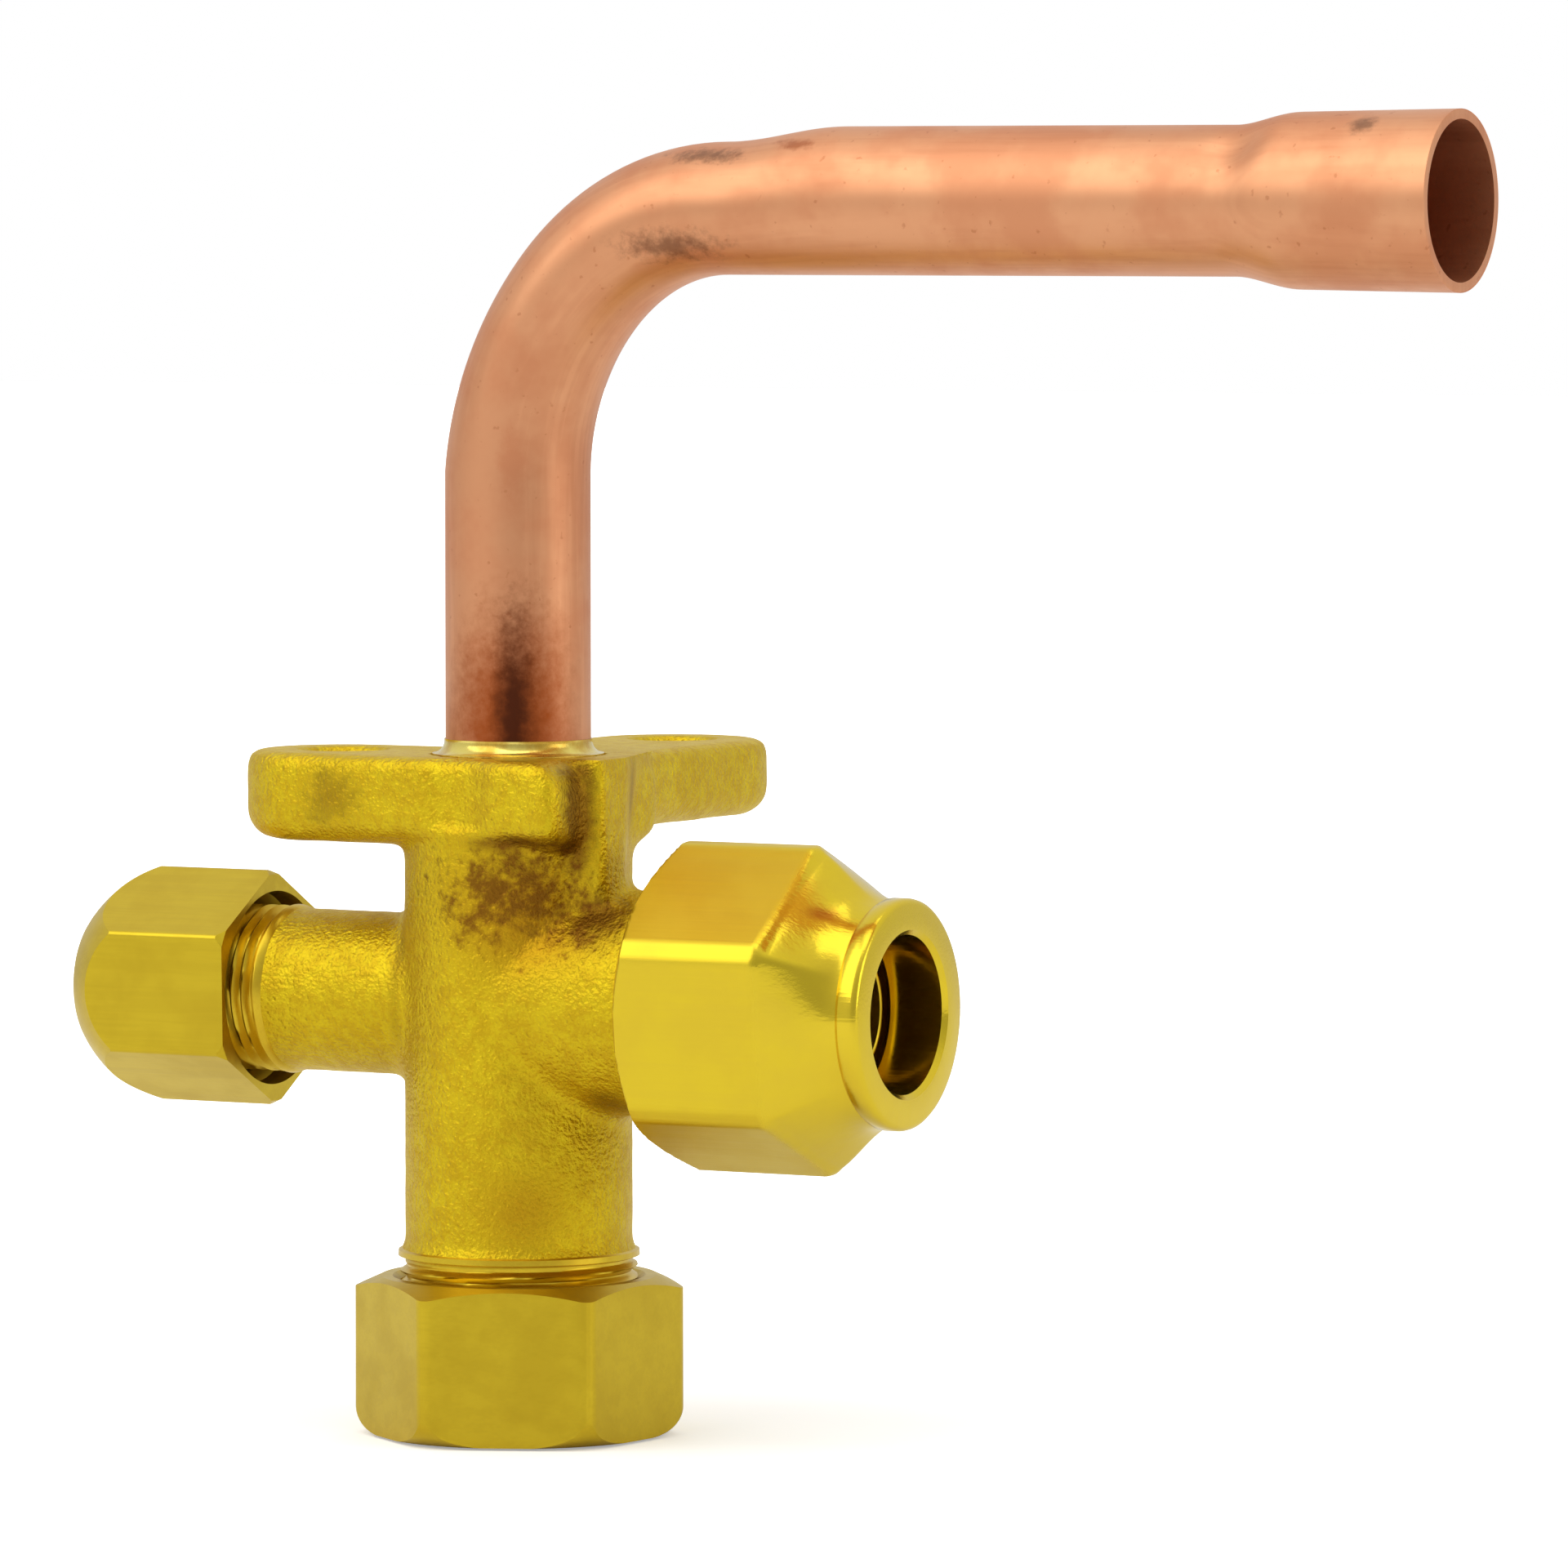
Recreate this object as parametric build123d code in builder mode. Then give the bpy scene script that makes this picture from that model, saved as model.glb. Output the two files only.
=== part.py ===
from build123d import *
import os
from math import cos, pi, radians, sin

os.makedirs("parts", exist_ok=True)

# Refrigerant service valve of a split air conditioner: a forged brass body with a soldered copper
# pipe, a flare port with its nut, a service port with its cap, and a shut-off stem under a cap.
#
# Frame: the valve's long axis is Z, and z = 0 is the flange's mounting face, from which the copper
# pipe rises. The flare port and the pipe's run point along +X, the service port along -X.

# ---- Driving dimensions, mm -------------------------------------------------------------------

# Copper connection pipe
PIPE_R = 6.0
PIPE_WALL = 0.8
PIPE_INSERTION = 7.0          # how far the pipe sits in the body
RUN_Z = 45.5                  # centre line of the horizontal run
BEND_ALONG = 13.8             # half axes of the bend's inside wall, along the run and along the riser
BEND_UP = 16.2
BEND_FLAT = 1.2               # how much the outside of the bend is flattened
FLAT_TAIL = 11.0              # the flattening fades over this length of the run
SWAGE_START = 65.4
SWAGE_END = 71.2
MOUTH_X = 84.7
BELL_BORE_R = 6.4             # takes a 12.7 mm pipe
BELL_R_START = 7.0
BELL_R_MOUTH = 7.2
SWAGE_EASE = 0.9              # how long the swage's curves stay tangent at their ends
MOUTH_EDGE = 0.12             # broken edges of the mouth

# Body
BARREL_R = 9.4
BARREL_TOP_Z = -6.0           # it ends inside the flange
PORT_Z = -20.2                # height of both side ports' common axis
THREAD_TOP_Z = -41.1          # cap thread on the barrel's lower end
THREAD_LEAD = 0.7             # cone between the barrel and the thread
CAP_THREAD_R = 9.9            # M20 thread
BODY_BOTTOM_Z = -51.3
CAP_THREAD_CHAMFER = 1.1
NECK_ROOT_R = 2.0             # fillets where the side ports leave the barrel
BOSS_ROOT_R = 1.4
SOCKET_R = 6.05
COUNTERBORE_R = 7.15          # holds the solder around the pipe
COUNTERBORE_DEPTH = 0.8
INLET_R = 4.4                 # its lower rim is the main seat
SEAT_Z = -11.5
SEAT_DROP = 1.2               # height of the cone below the seat
STEM_BORE_R = 6.5
SEAL_BORE_R = 7.0
SEAL_BORE_TOP_Z = -34.0
SEAL_BORE_LEAD = 0.4          # cone at the top of the seal bore
MOUTH_CHAMFER = 0.5           # edge breaks of the threaded mouths
RING_GROOVE_R = 7.7
RING_GROOVE_TOP_Z = -48.0
RING_GROOVE_WIDTH = 1.2

# Flange
FLANGE_T = 7.4
EAR_R = 8.0
EAR_1_X = -16.7               # screw hole of the ear along -X
EAR_2_Y = 26.6                # screw hole of the ear along +Y
EAR_2_LIFT = 1.0              # the second ear is this much thinner
SCREW_HOLE_R = 3.3            # clears an M6 screw
SCREW_HOLE_CHAMFER = 0.5
EAR_1_END_X = 9.2             # where the first ear's slab ends on the flare port's side
EAR_1_FRONT_Y = -9.2          # the slab's front corner there
SHOULDER_R = 2.8              # rounding of that end
EAR_UNDER_R = 2.4             # rounding of the ears' lower rims
EAR_TOP_R = 1.3
WEB_X = 10.7                  # the web between the flange and the flare port
WEB_FRONT_Y = -5.2
WEB_BACK_Y = -0.9
WEB_BOTTOM_Z = -11.8
WEB_END_TOP_Y = 8.4           # how far the web runs along the second ear, at its top and its foot
WEB_END_FOOT_Y = 1.0

# Flare port and nut
FLARE_THREAD_R = 9.525        # 3/4-16 UNF
FLARE_BOSS_R = 9.25
FLARE_BOSS_END = 14.5
FLARE_THREAD_START = 16.0
FLARE_THREAD_CHAMFER = 0.8
FLARE_THREAD_END = 27.2
FLARE_LIP_X = 31.1
FLARE_LIP_R = 5.4
FLARE_CONE_R = 8.9            # where the 45 degree flare cone starts
FLARE_RELIEF_R = 8.7
FLARE_BORE_R = 5.0
NUT_AF = 24.3
NUT_BACK_X = 15.4
NUT_HEX_END = 28.2
NUT_COLLAR_START = 34.2
NUT_END_X = 36.3
NUT_COLLAR_R = 9.45
NUT_BORE_R = 6.5
NUT_CORNER_R = 1.6
NUT_COLLAR_ROUND = 0.5
NUT_CHAMFER_DROP = 0.3        # turned chamfer on the back: its inner edge, its length and its rise
NUT_CHAMFER_LENGTH = 1.3
NUT_CHAMFER_RISE = 1.7
NUT_MOUTH_CHAMFER = 0.8
NUT_BORE_CHAMFER = 0.4
NUT_SEAT_X = 37.7             # where the cone of the nut's flare seat would meet the axis
# Sections of the nut's shoulder: place along the axis, half the width across flats, corner radius
NUT_SHOULDER = (
    (NUT_HEX_END, 12.05, 1.9),
    (30.9, 11.4, 4.0),
    (33.0, 10.0, 6.5),
    (NUT_COLLAR_START, 9.6, 9.0),
)
NUT_TURN = 6.5                # how far the nut has stopped past a corner-up position, degrees

# Service port, its valve core and its cap
NECK_R = 6.75
SERVICE_THREAD_R = 7.0
SERVICE_THREAD_START = -21.4
SERVICE_THREAD_LEAD = 0.4
SERVICE_END_X = -34.0
SERVICE_CHAMFER = 0.8
SERVICE_MOUTH_R = 4.6
SERVICE_MOUTH_DEPTH = 1.4
SERVICE_PASSAGE_R = 2.0
CORE_THREAD_R = 3.9
CORE_SEAT_X = -25.5           # outer end of the conical seat of the valve core
CORE_BORE_R = 2.9
CORE_BORE_END_X = -12.5
SERVICE_CAP_AF = 17.2
SERVICE_CAP_MOUTH = -23.4
SERVICE_CAP_END = -39.3
SERVICE_CAP_TURN = 1.0
SERVICE_CAP_CORNER_R = 0.5
SERVICE_CAP_FLAT_R = 6.4      # flat centre of the closed end
SERVICE_CAP_DOME = 5.3        # length over which that end is rounded
SERVICE_CAP_DOME_SLOPE = 0.35
SERVICE_CAP_DOME_RISE = 1.4   # how far the rounding runs out past the flats
SERVICE_CAP_MOUTH_CHAMFER = 0.9
SERVICE_CAP_MOUTH_DROP = 0.5
SERVICE_CAP_RELIEF_R = 8.1    # wide mouth in front of the thread
SERVICE_CAP_RELIEF_DEPTH = 2.2
SERVICE_CAP_LEAD = 1.0
SERVICE_CAP_FLOOR_X = -35.02

# Stem and its cap
STEM_HEX_AF = 5.0
STEM_HEX_DEPTH = 6.0
NOSE_TOP_Z = -9.92
NOSE_TIP_R = 2.8
NOSE_R = 5.2
NOSE_BOTTOM_Z = -14.0
NOSE_BACK = 1.4               # cones at both ends of the waist between the nose and the thread
WAIST_CONE = 0.9
STEM_NECK_R = 3.6
STEM_THREAD_TOP_Z = -27.4
STEM_CHAMFER = 0.7
SEAL_LEAD_DROP = 0.6          # the stem's wide part starts this far inside the seal bore
UPPER_GROOVE = (-36.0, -37.8) # O-ring grooves, top and bottom
LOWER_GROOVE = (-39.2, -41.6)
GROOVE_R = 5.6
STEM_BOTTOM_Z = -43.2
RETAINING_BORE_R = 6.1
RETAINING_GAP = 3.4
RETAINING_END_R = 0.3
STEM_CAP_AF = 24.0
STEM_CAP_MOUTH_Z = -43.1
STEM_CAP_BOTTOM_Z = -56.1
STEM_CAP_CORNER_AT = 24.0     # direction of one hex corner from +X, degrees
STEM_CAP_CORNER_R = 1.6
STEM_CAP_CHAMFER = 2.2        # height of the rounding at the closed end
STEM_CAP_ROUND_OUT = 1.6      # how far it and the mouth's chamfer run out past the flats
STEM_CAP_MOUTH_IN = 0.6
STEM_CAP_MOUTH_CHAMFER = 1.0
STEM_CAP_FLAT_R = 10.2
STEM_CAP_FLOOR_Z = -52.34
STEM_CAP_POCKET_R = 6.2       # drilled pocket in the floor
STEM_CAP_POCKET_DEPTH = 1.2
STEM_CAP_POCKET_CONE = 0.8

# Seals
UPPER_RING_Z = -36.9          # heights of the stem O-rings
LOWER_RING_Z = -40.05
BACKUP_T = 0.7
SEAL_T = 1.0                  # thickness of both caps' flat seals
STEM_GASKET_R = 9.6
STEM_GASKET_BORE_R = 7.4
SERVICE_SEAL_R = 6.6
SERVICE_SEAL_BORE_R = 4.7

# Solder around the pipe
SOLDER_INNER_R = 6.02
SOLDER_OUTER_R = 7.1
SOLDER_TOP_Z = 1.3
SOLDER_EDGE = 0.1             # thickness of the solder where it runs out
SOLDER_HOLLOW = (6.38, 0.42)  # radius and height of the middle of its hollow face

# Valve core, along the port axis
PLUG_OUTER_X = -31.6
PLUG_KEY_R = 2.3
PLUG_KEY_LENGTH = 1.8
PLUG_BORE_R = 1.3
CORE_HEAD_X = -27.4           # where the plug meets the barrel
CORE_HEAD_R = 3.6
CORE_TUBE_R = 1.75
CORE_GASKET_X = -26.0
CORE_GASKET_END_X = -24.9
GASKET_CONE_X = -25.4
CORE_WAIST_R = 2.2
CORE_BARREL_R = 2.6
CORE_LIP_X = -18.5
CORE_LIP_T = 0.8
CORE_LIP_R = 1.15
PIN_R = 0.8
PIN_OUTER_X = -31.3
PIN_COLLAR_X = -26.9
PIN_COLLAR_R = 1.6
PIN_COLLAR_T = 0.6
PIN_RIVET_R = 1.3
PIN_RIVET_T = 0.4
CUP_END_X = -16.0
CUP_R = 2.3
CUP_T = 0.9
CORE_SEAL_R = 2.2
SPRING_R = 1.3
SPRING_WIRE_R = 0.17
SPRING_TURNS = 6

# Running clearance of each plain cylinder that stands for a fine thread or a sliding fit, and the
# smaller gap between pieces that touch
CLEARANCE = 0.06
GAP = 0.02

# Radii worked out from the bores they run in
STEM_THREAD_R = STEM_BORE_R - CLEARANCE
STEM_SEAL_R = SEAL_BORE_R - CLEARANCE
CAP_BORE_R = SERVICE_THREAD_R + CLEARANCE

# Sketch plane through the port axis: local x runs along +X, local y is the radius above the axis
PORT_PLANE = Plane(origin=(0, 0, PORT_Z), x_dir=(1, 0, 0), z_dir=(0, -1, 0))
PORT_AXIS = Axis((0, 0, PORT_Z), (1, 0, 0))
RUN_AXIS = Axis((0, 0, RUN_Z), (1, 0, 0))
RUN_PLANE = Plane(origin=(0, 0, RUN_Z), x_dir=(1, 0, 0), z_dir=(0, -1, 0))


def across_port(x, turn):
    """Plane across the port axis at x. Its local y axis is +Z, turned towards -Y by turn degrees."""
    sideways = (0, cos(radians(turn)), sin(radians(turn)))
    return Plane(origin=(x, 0, PORT_Z), x_dir=sideways, z_dir=(1, 0, 0))


# ---- Valve body -------------------------------------------------------------------------------

# Ear along -X: a slab whose end over the flare port is a rounded shoulder
with BuildPart() as first_ear:
    with BuildSketch(Plane.XY.offset(-FLANGE_T)):
        with BuildLine():
            Polyline(
                (EAR_1_X, EAR_R),
                (EAR_1_X, -EAR_R),
                (EAR_1_END_X, EAR_1_FRONT_Y),
                (EAR_1_END_X, EAR_R),
                close=True,
            )
        make_face()
        with Locations((EAR_1_X, 0)):
            Circle(EAR_R)
    extrude(amount=FLANGE_T)
    fillet(first_ear.faces().sort_by(Axis.X)[-1].edges().sort_by(Axis.Z)[-1], SHOULDER_R)
    rim = first_ear.edges().filter_by_position(Axis.Z, -FLANGE_T, -FLANGE_T).sort_by(Axis.X)[:-1]
    fillet(rim, EAR_UNDER_R)
    tip_top = first_ear.edges().filter_by_position(Axis.Z, 0, 0).sort_by(Axis.X)[:-1]
    fillet(tip_top, EAR_TOP_R)

# Ear along +Y, a little thinner
with BuildPart() as second_ear:
    with BuildSketch(Plane.XY.offset(EAR_2_LIFT - FLANGE_T)):
        with Locations((0, EAR_2_Y / 2)):
            Rectangle(2 * EAR_R, EAR_2_Y)
        with Locations((0, EAR_2_Y)):
            Circle(EAR_R)
    extrude(amount=FLANGE_T - EAR_2_LIFT)
    rim = second_ear.edges().filter_by_position(Axis.Z, EAR_2_LIFT - FLANGE_T, EAR_2_LIFT - FLANGE_T)
    fillet(rim.sort_by(Axis.Y)[1:], EAR_UNDER_R)
    tip_top = second_ear.edges().filter_by_position(Axis.Z, 0, 0).sort_by(Axis.Y)[1:]
    fillet(tip_top, EAR_TOP_R)

# Web that ties the flange to the root of the flare port; its far side blends into the second ear
with BuildPart() as flange_web:
    for height, end_y in ((0, WEB_END_TOP_Y), (WEB_BOTTOM_Z, WEB_END_FOOT_Y)):
        with BuildSketch(Plane.XY.offset(height)):
            with BuildLine():
                Polyline(
                    (0, WEB_FRONT_Y),
                    (WEB_X, WEB_FRONT_Y),
                    (WEB_X, WEB_BACK_Y),
                    (EAR_R, end_y),
                    (0, end_y),
                    close=True,
                )
            make_face()
    loft(ruled=True)

with BuildPart() as valve_body:
    # barrel with the stem cap's thread on its lower end
    with BuildSketch(Plane.XZ):
        with BuildLine():
            Polyline(
                (0, BARREL_TOP_Z),
                (BARREL_R, BARREL_TOP_Z),
                (BARREL_R, THREAD_TOP_Z + THREAD_LEAD),
                (CAP_THREAD_R, THREAD_TOP_Z),
                (CAP_THREAD_R, BODY_BOTTOM_Z + CAP_THREAD_CHAMFER),
                (CAP_THREAD_R - CAP_THREAD_CHAMFER, BODY_BOTTOM_Z),
                (0, BODY_BOTTOM_Z),
                close=True,
            )
        make_face()
    revolve(axis=Axis.Z)
    # neck of the service port
    with BuildSketch(PORT_PLANE):
        with Locations((SERVICE_THREAD_START / 2, NECK_R / 2)):
            Rectangle(-SERVICE_THREAD_START, NECK_R)
    revolve(axis=PORT_AXIS)
    fillet(valve_body.edges().filter_by(GeomType.BSPLINE), NECK_ROOT_R)
    # boss of the flare port
    with BuildSketch(PORT_PLANE):
        with Locations((FLARE_BOSS_END / 2, FLARE_BOSS_R / 2)):
            Rectangle(FLARE_BOSS_END, FLARE_BOSS_R)
    revolve(axis=PORT_AXIS)
    junctions = valve_body.edges().filter_by(GeomType.BSPLINE)
    fillet(junctions.filter_by(lambda edge: edge.center().X > 0), BOSS_ROOT_R)
    # threaded ends of both ports
    with BuildSketch(PORT_PLANE):
        with BuildLine():
            Polyline(
                (SERVICE_THREAD_START + SERVICE_THREAD_LEAD, 0),
                (SERVICE_THREAD_START + SERVICE_THREAD_LEAD, NECK_R),
                (SERVICE_THREAD_START, SERVICE_THREAD_R),
                (SERVICE_END_X + SERVICE_CHAMFER, SERVICE_THREAD_R),
                (SERVICE_END_X, SERVICE_THREAD_R - SERVICE_CHAMFER),
                (SERVICE_END_X, 0),
                close=True,
            )
        make_face()
        with BuildLine():
            Polyline(
                (BARREL_R, 0),
                (BARREL_R, FLARE_RELIEF_R),
                (FLARE_THREAD_START, FLARE_RELIEF_R),
                (FLARE_THREAD_START + FLARE_THREAD_CHAMFER, FLARE_THREAD_R),
                (FLARE_THREAD_END, FLARE_THREAD_R),
                (FLARE_LIP_X - (FLARE_CONE_R - FLARE_LIP_R), FLARE_CONE_R),
                (FLARE_LIP_X, FLARE_LIP_R),
                (FLARE_LIP_X, 0),
                close=True,
            )
        make_face()
    revolve(axis=PORT_AXIS)
    add(first_ear.part)
    add(second_ear.part)
    add(flange_web.part)
    # pipe socket, main seat, stem bore and seal bore, all on the long axis
    with BuildSketch(Plane.XZ):
        with BuildLine():
            Polyline(
                (0, 0),
                (COUNTERBORE_R, 0),
                (COUNTERBORE_R, -COUNTERBORE_DEPTH),
                (SOCKET_R, -COUNTERBORE_DEPTH),
                (SOCKET_R, -PIPE_INSERTION),
                (INLET_R, -PIPE_INSERTION),
                (INLET_R, SEAT_Z),
                (STEM_BORE_R, SEAT_Z - SEAT_DROP),
                (STEM_BORE_R, SEAL_BORE_TOP_Z),
                (SEAL_BORE_R, SEAL_BORE_TOP_Z - SEAL_BORE_LEAD),
                (SEAL_BORE_R, RING_GROOVE_TOP_Z),
                (RING_GROOVE_R, RING_GROOVE_TOP_Z),
                (RING_GROOVE_R, RING_GROOVE_TOP_Z - RING_GROOVE_WIDTH),
                (SEAL_BORE_R, RING_GROOVE_TOP_Z - RING_GROOVE_WIDTH),
                (SEAL_BORE_R, BODY_BOTTOM_Z + MOUTH_CHAMFER),
                (SEAL_BORE_R + MOUTH_CHAMFER, BODY_BOTTOM_Z),
                (0, BODY_BOTTOM_Z),
                close=True,
            )
        make_face()
    revolve(axis=Axis.Z, mode=Mode.SUBTRACT)
    # flare port's passage and the service port's stepped bore
    with BuildSketch(PORT_PLANE):
        with Locations((FLARE_LIP_X / 2, FLARE_BORE_R / 2)):
            Rectangle(FLARE_LIP_X, FLARE_BORE_R)
        with BuildLine():
            Polyline(
                (0, 0),
                (0, SERVICE_PASSAGE_R),
                (CORE_BORE_END_X, SERVICE_PASSAGE_R),
                (CORE_BORE_END_X, CORE_BORE_R),
                (CORE_SEAT_X + CORE_THREAD_R - CORE_BORE_R, CORE_BORE_R),
                (CORE_SEAT_X, CORE_THREAD_R),
                (SERVICE_END_X + SERVICE_MOUTH_DEPTH, CORE_THREAD_R),
                (SERVICE_END_X, SERVICE_MOUTH_R),
                (SERVICE_END_X, 0),
                close=True,
            )
        make_face()
    revolve(axis=PORT_AXIS, mode=Mode.SUBTRACT)
    # screw holes
    with Locations((EAR_1_X, 0, 0), (0, EAR_2_Y, 0)):
        Hole(SCREW_HOLE_R, depth=FLANGE_T)
    circles = valve_body.edges().filter_by(GeomType.CIRCLE)
    chamfer(circles.filter_by(lambda edge: edge.radius == SCREW_HOLE_R), SCREW_HOLE_CHAMFER)

# ---- Copper tube, in two lengths that meet face to face, and its soldered joint -----------------


def bend_plane(angle):
    """Plane across the bend at an angle of its inside wall's ellipse, with its origin on that wall."""
    t = radians(angle)
    outward = Vector(-BEND_UP * cos(t), 0, BEND_ALONG * sin(t)).normalized()
    ahead = Vector(outward.Z, 0, -outward.X)
    wall = Vector(PIPE_R + BEND_ALONG * (1 - cos(t)), 0, BEND_START_Z + BEND_UP * sin(t))
    return Plane(origin=wall, x_dir=outward, z_dir=ahead)


def flattened(fraction):
    """How much the section is flattened, from 0 at the bend's start to the most past its middle."""
    return BEND_FLAT * sin(min(2 * fraction, 1) * pi / 2)


BEND_START_Z = RUN_Z - PIPE_R - BEND_UP
RUN_START_X = BEND_ALONG + PIPE_R + FLAT_TAIL

# Each station is a plane on the inside wall and the amount by which the outside is flattened
BEND_STEPS = 6
stations = []
for k in range(BEND_STEPS + 1):
    stations.append((bend_plane(90 * k / BEND_STEPS), flattened(k / BEND_STEPS)))
TAIL_STEPS = 3
for k in range(1, TAIL_STEPS + 1):
    end_plane = stations[BEND_STEPS][0]
    fade = cos(k / TAIL_STEPS * pi / 2) ** 2
    tail_plane = Plane(
        origin=end_plane.origin + Vector(FLAT_TAIL * k / TAIL_STEPS, 0, 0),
        x_dir=end_plane.x_dir,
        z_dir=end_plane.z_dir,
    )
    stations.append((tail_plane, BEND_FLAT * fade))

with BuildPart() as connection_pipe:
    # riser, from its end in the socket to the bend
    with BuildSketch(Plane.XY.offset(-PIPE_INSERTION)):
        Circle(PIPE_R)
        Circle(PIPE_R - PIPE_WALL, mode=Mode.SUBTRACT)
    extrude(amount=BEND_START_Z + PIPE_INSERTION)
    # bend: the outside skin, then the bore
    for inset, way in ((0, Mode.ADD), (PIPE_WALL, Mode.SUBTRACT)):
        for plane, flat in stations:
            with BuildSketch(plane):
                with Locations((PIPE_R - flat / 2, 0)):
                    Ellipse(PIPE_R - flat / 2 - inset, PIPE_R + flat / 4 - inset)
        loft(mode=way)

# The rest of the same tube, from the end of the bend's flattening: run, swage and bell
with BuildPart() as pipe_run:
    with BuildSketch(RUN_PLANE):
        with BuildLine():
            outside_run = Line((RUN_START_X, PIPE_R), (SWAGE_START, PIPE_R))
            swage_out = Spline(
                outside_run @ 1,
                (SWAGE_END, BELL_R_START),
                tangents=((1, 0), (1, 0)),
                tangent_scalars=(SWAGE_EASE, SWAGE_EASE),
            )
            Line(swage_out @ 1, (MOUTH_X, BELL_R_MOUTH))
            Line((MOUTH_X, BELL_R_MOUTH), (MOUTH_X, BELL_BORE_R))
            Line((MOUTH_X, BELL_BORE_R), (SWAGE_END, BELL_BORE_R))
            swage_in = Spline(
                (SWAGE_START, PIPE_R - PIPE_WALL),
                (SWAGE_END, BELL_BORE_R),
                tangents=((1, 0), (1, 0)),
                tangent_scalars=(SWAGE_EASE, SWAGE_EASE),
            )
            Line(swage_in @ 0, (RUN_START_X, PIPE_R - PIPE_WALL))
            Line((RUN_START_X, PIPE_R - PIPE_WALL), (RUN_START_X, PIPE_R))
        make_face()
    revolve(axis=RUN_AXIS)
    mouth_rim = pipe_run.faces().sort_by(Axis.X)[-1].edges()
    chamfer(mouth_rim, MOUTH_EDGE)

with BuildPart() as braze_fillet:
    with BuildSketch(Plane.XZ):
        with BuildLine():
            Polyline(
                (SOLDER_INNER_R, SOLDER_TOP_Z),
                (SOLDER_INNER_R, -COUNTERBORE_DEPTH),
                (SOLDER_OUTER_R, -COUNTERBORE_DEPTH),
                (SOLDER_OUTER_R, SOLDER_EDGE),
            )
            hollow = ThreePointArc(
                (SOLDER_OUTER_R, SOLDER_EDGE),
                SOLDER_HOLLOW,
                (SOLDER_INNER_R + SOLDER_EDGE, SOLDER_TOP_Z),
            )
            Line(hollow @ 1, (SOLDER_INNER_R, SOLDER_TOP_Z))
        make_face()
    revolve(axis=Axis.Z)

# ---- Shut-off stem with its seals, held in by a snap ring ---------------------------------------

with BuildPart() as stem:
    with BuildSketch(Plane.XZ):
        with BuildLine():
            Polyline(
                (0, NOSE_TOP_Z),
                (NOSE_TIP_R, NOSE_TOP_Z),
                (NOSE_R, NOSE_TOP_Z - (NOSE_R - NOSE_TIP_R)),
                (NOSE_R, NOSE_BOTTOM_Z),
                (STEM_NECK_R, NOSE_BOTTOM_Z - NOSE_BACK),
                (STEM_NECK_R, STEM_THREAD_TOP_Z + STEM_CHAMFER + WAIST_CONE),
                (STEM_THREAD_R - STEM_CHAMFER, STEM_THREAD_TOP_Z + STEM_CHAMFER),
                (STEM_THREAD_R, STEM_THREAD_TOP_Z),
                (STEM_THREAD_R, SEAL_BORE_TOP_Z - SEAL_LEAD_DROP),
                (STEM_SEAL_R, SEAL_BORE_TOP_Z - SEAL_LEAD_DROP - MOUTH_CHAMFER),
                (STEM_SEAL_R, STEM_BOTTOM_Z + STEM_CHAMFER),
                (STEM_SEAL_R - STEM_CHAMFER, STEM_BOTTOM_Z),
                (0, STEM_BOTTOM_Z),
                close=True,
            )
        make_face()
    revolve(axis=Axis.Z)
    # grooves of the two O-rings
    with BuildSketch(Plane.XZ):
        for top, bottom in (UPPER_GROOVE, LOWER_GROOVE):
            with Locations(((GROOVE_R + SEAL_BORE_R) / 2, (top + bottom) / 2)):
                Rectangle(SEAL_BORE_R - GROOVE_R, top - bottom)
    revolve(axis=Axis.Z, mode=Mode.SUBTRACT)
    # hexagon socket for the service key
    with BuildSketch(Plane.XY.offset(STEM_BOTTOM_Z)):
        RegularPolygon(STEM_HEX_AF / 2, 6, major_radius=False)
    extrude(amount=STEM_HEX_DEPTH, mode=Mode.SUBTRACT)

o_rings = {}
for name, centre_z in (("stem_o_ring_inner", UPPER_RING_Z), ("stem_o_ring_outer", LOWER_RING_Z)):
    with BuildPart() as o_ring:
        with BuildSketch(Plane.XZ):
            with Locations(((GROOVE_R + SEAL_BORE_R) / 2, centre_z)):
                Circle((SEAL_BORE_R - GROOVE_R - GAP) / 2)
        revolve(axis=Axis.Z)
    o_rings[name] = o_ring

with BuildPart() as stem_backup_ring:
    with BuildSketch(Plane.XY.offset(LOWER_GROOVE[1] + GAP / 2)):
        Circle(SEAL_BORE_R - GAP)
        Circle(GROOVE_R + GAP, mode=Mode.SUBTRACT)
    extrude(amount=BACKUP_T)

# Snap ring in the body's groove: it stops the stem from being backed out
with BuildPart() as retaining_ring:
    with BuildSketch(Plane.XY.offset(RING_GROOVE_TOP_Z - RING_GROOVE_WIDTH)):
        Circle(RING_GROOVE_R - CLEARANCE)
        Circle(RETAINING_BORE_R, mode=Mode.SUBTRACT)
        with Locations((0, -RING_GROOVE_R)):
            Rectangle(RETAINING_GAP, RING_GROOVE_R, mode=Mode.SUBTRACT)
    extrude(amount=RING_GROOVE_WIDTH - CLEARANCE)
    fillet(retaining_ring.edges().filter_by(Axis.Z), RETAINING_END_R)

# ---- Stem cap -----------------------------------------------------------------------------------

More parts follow.
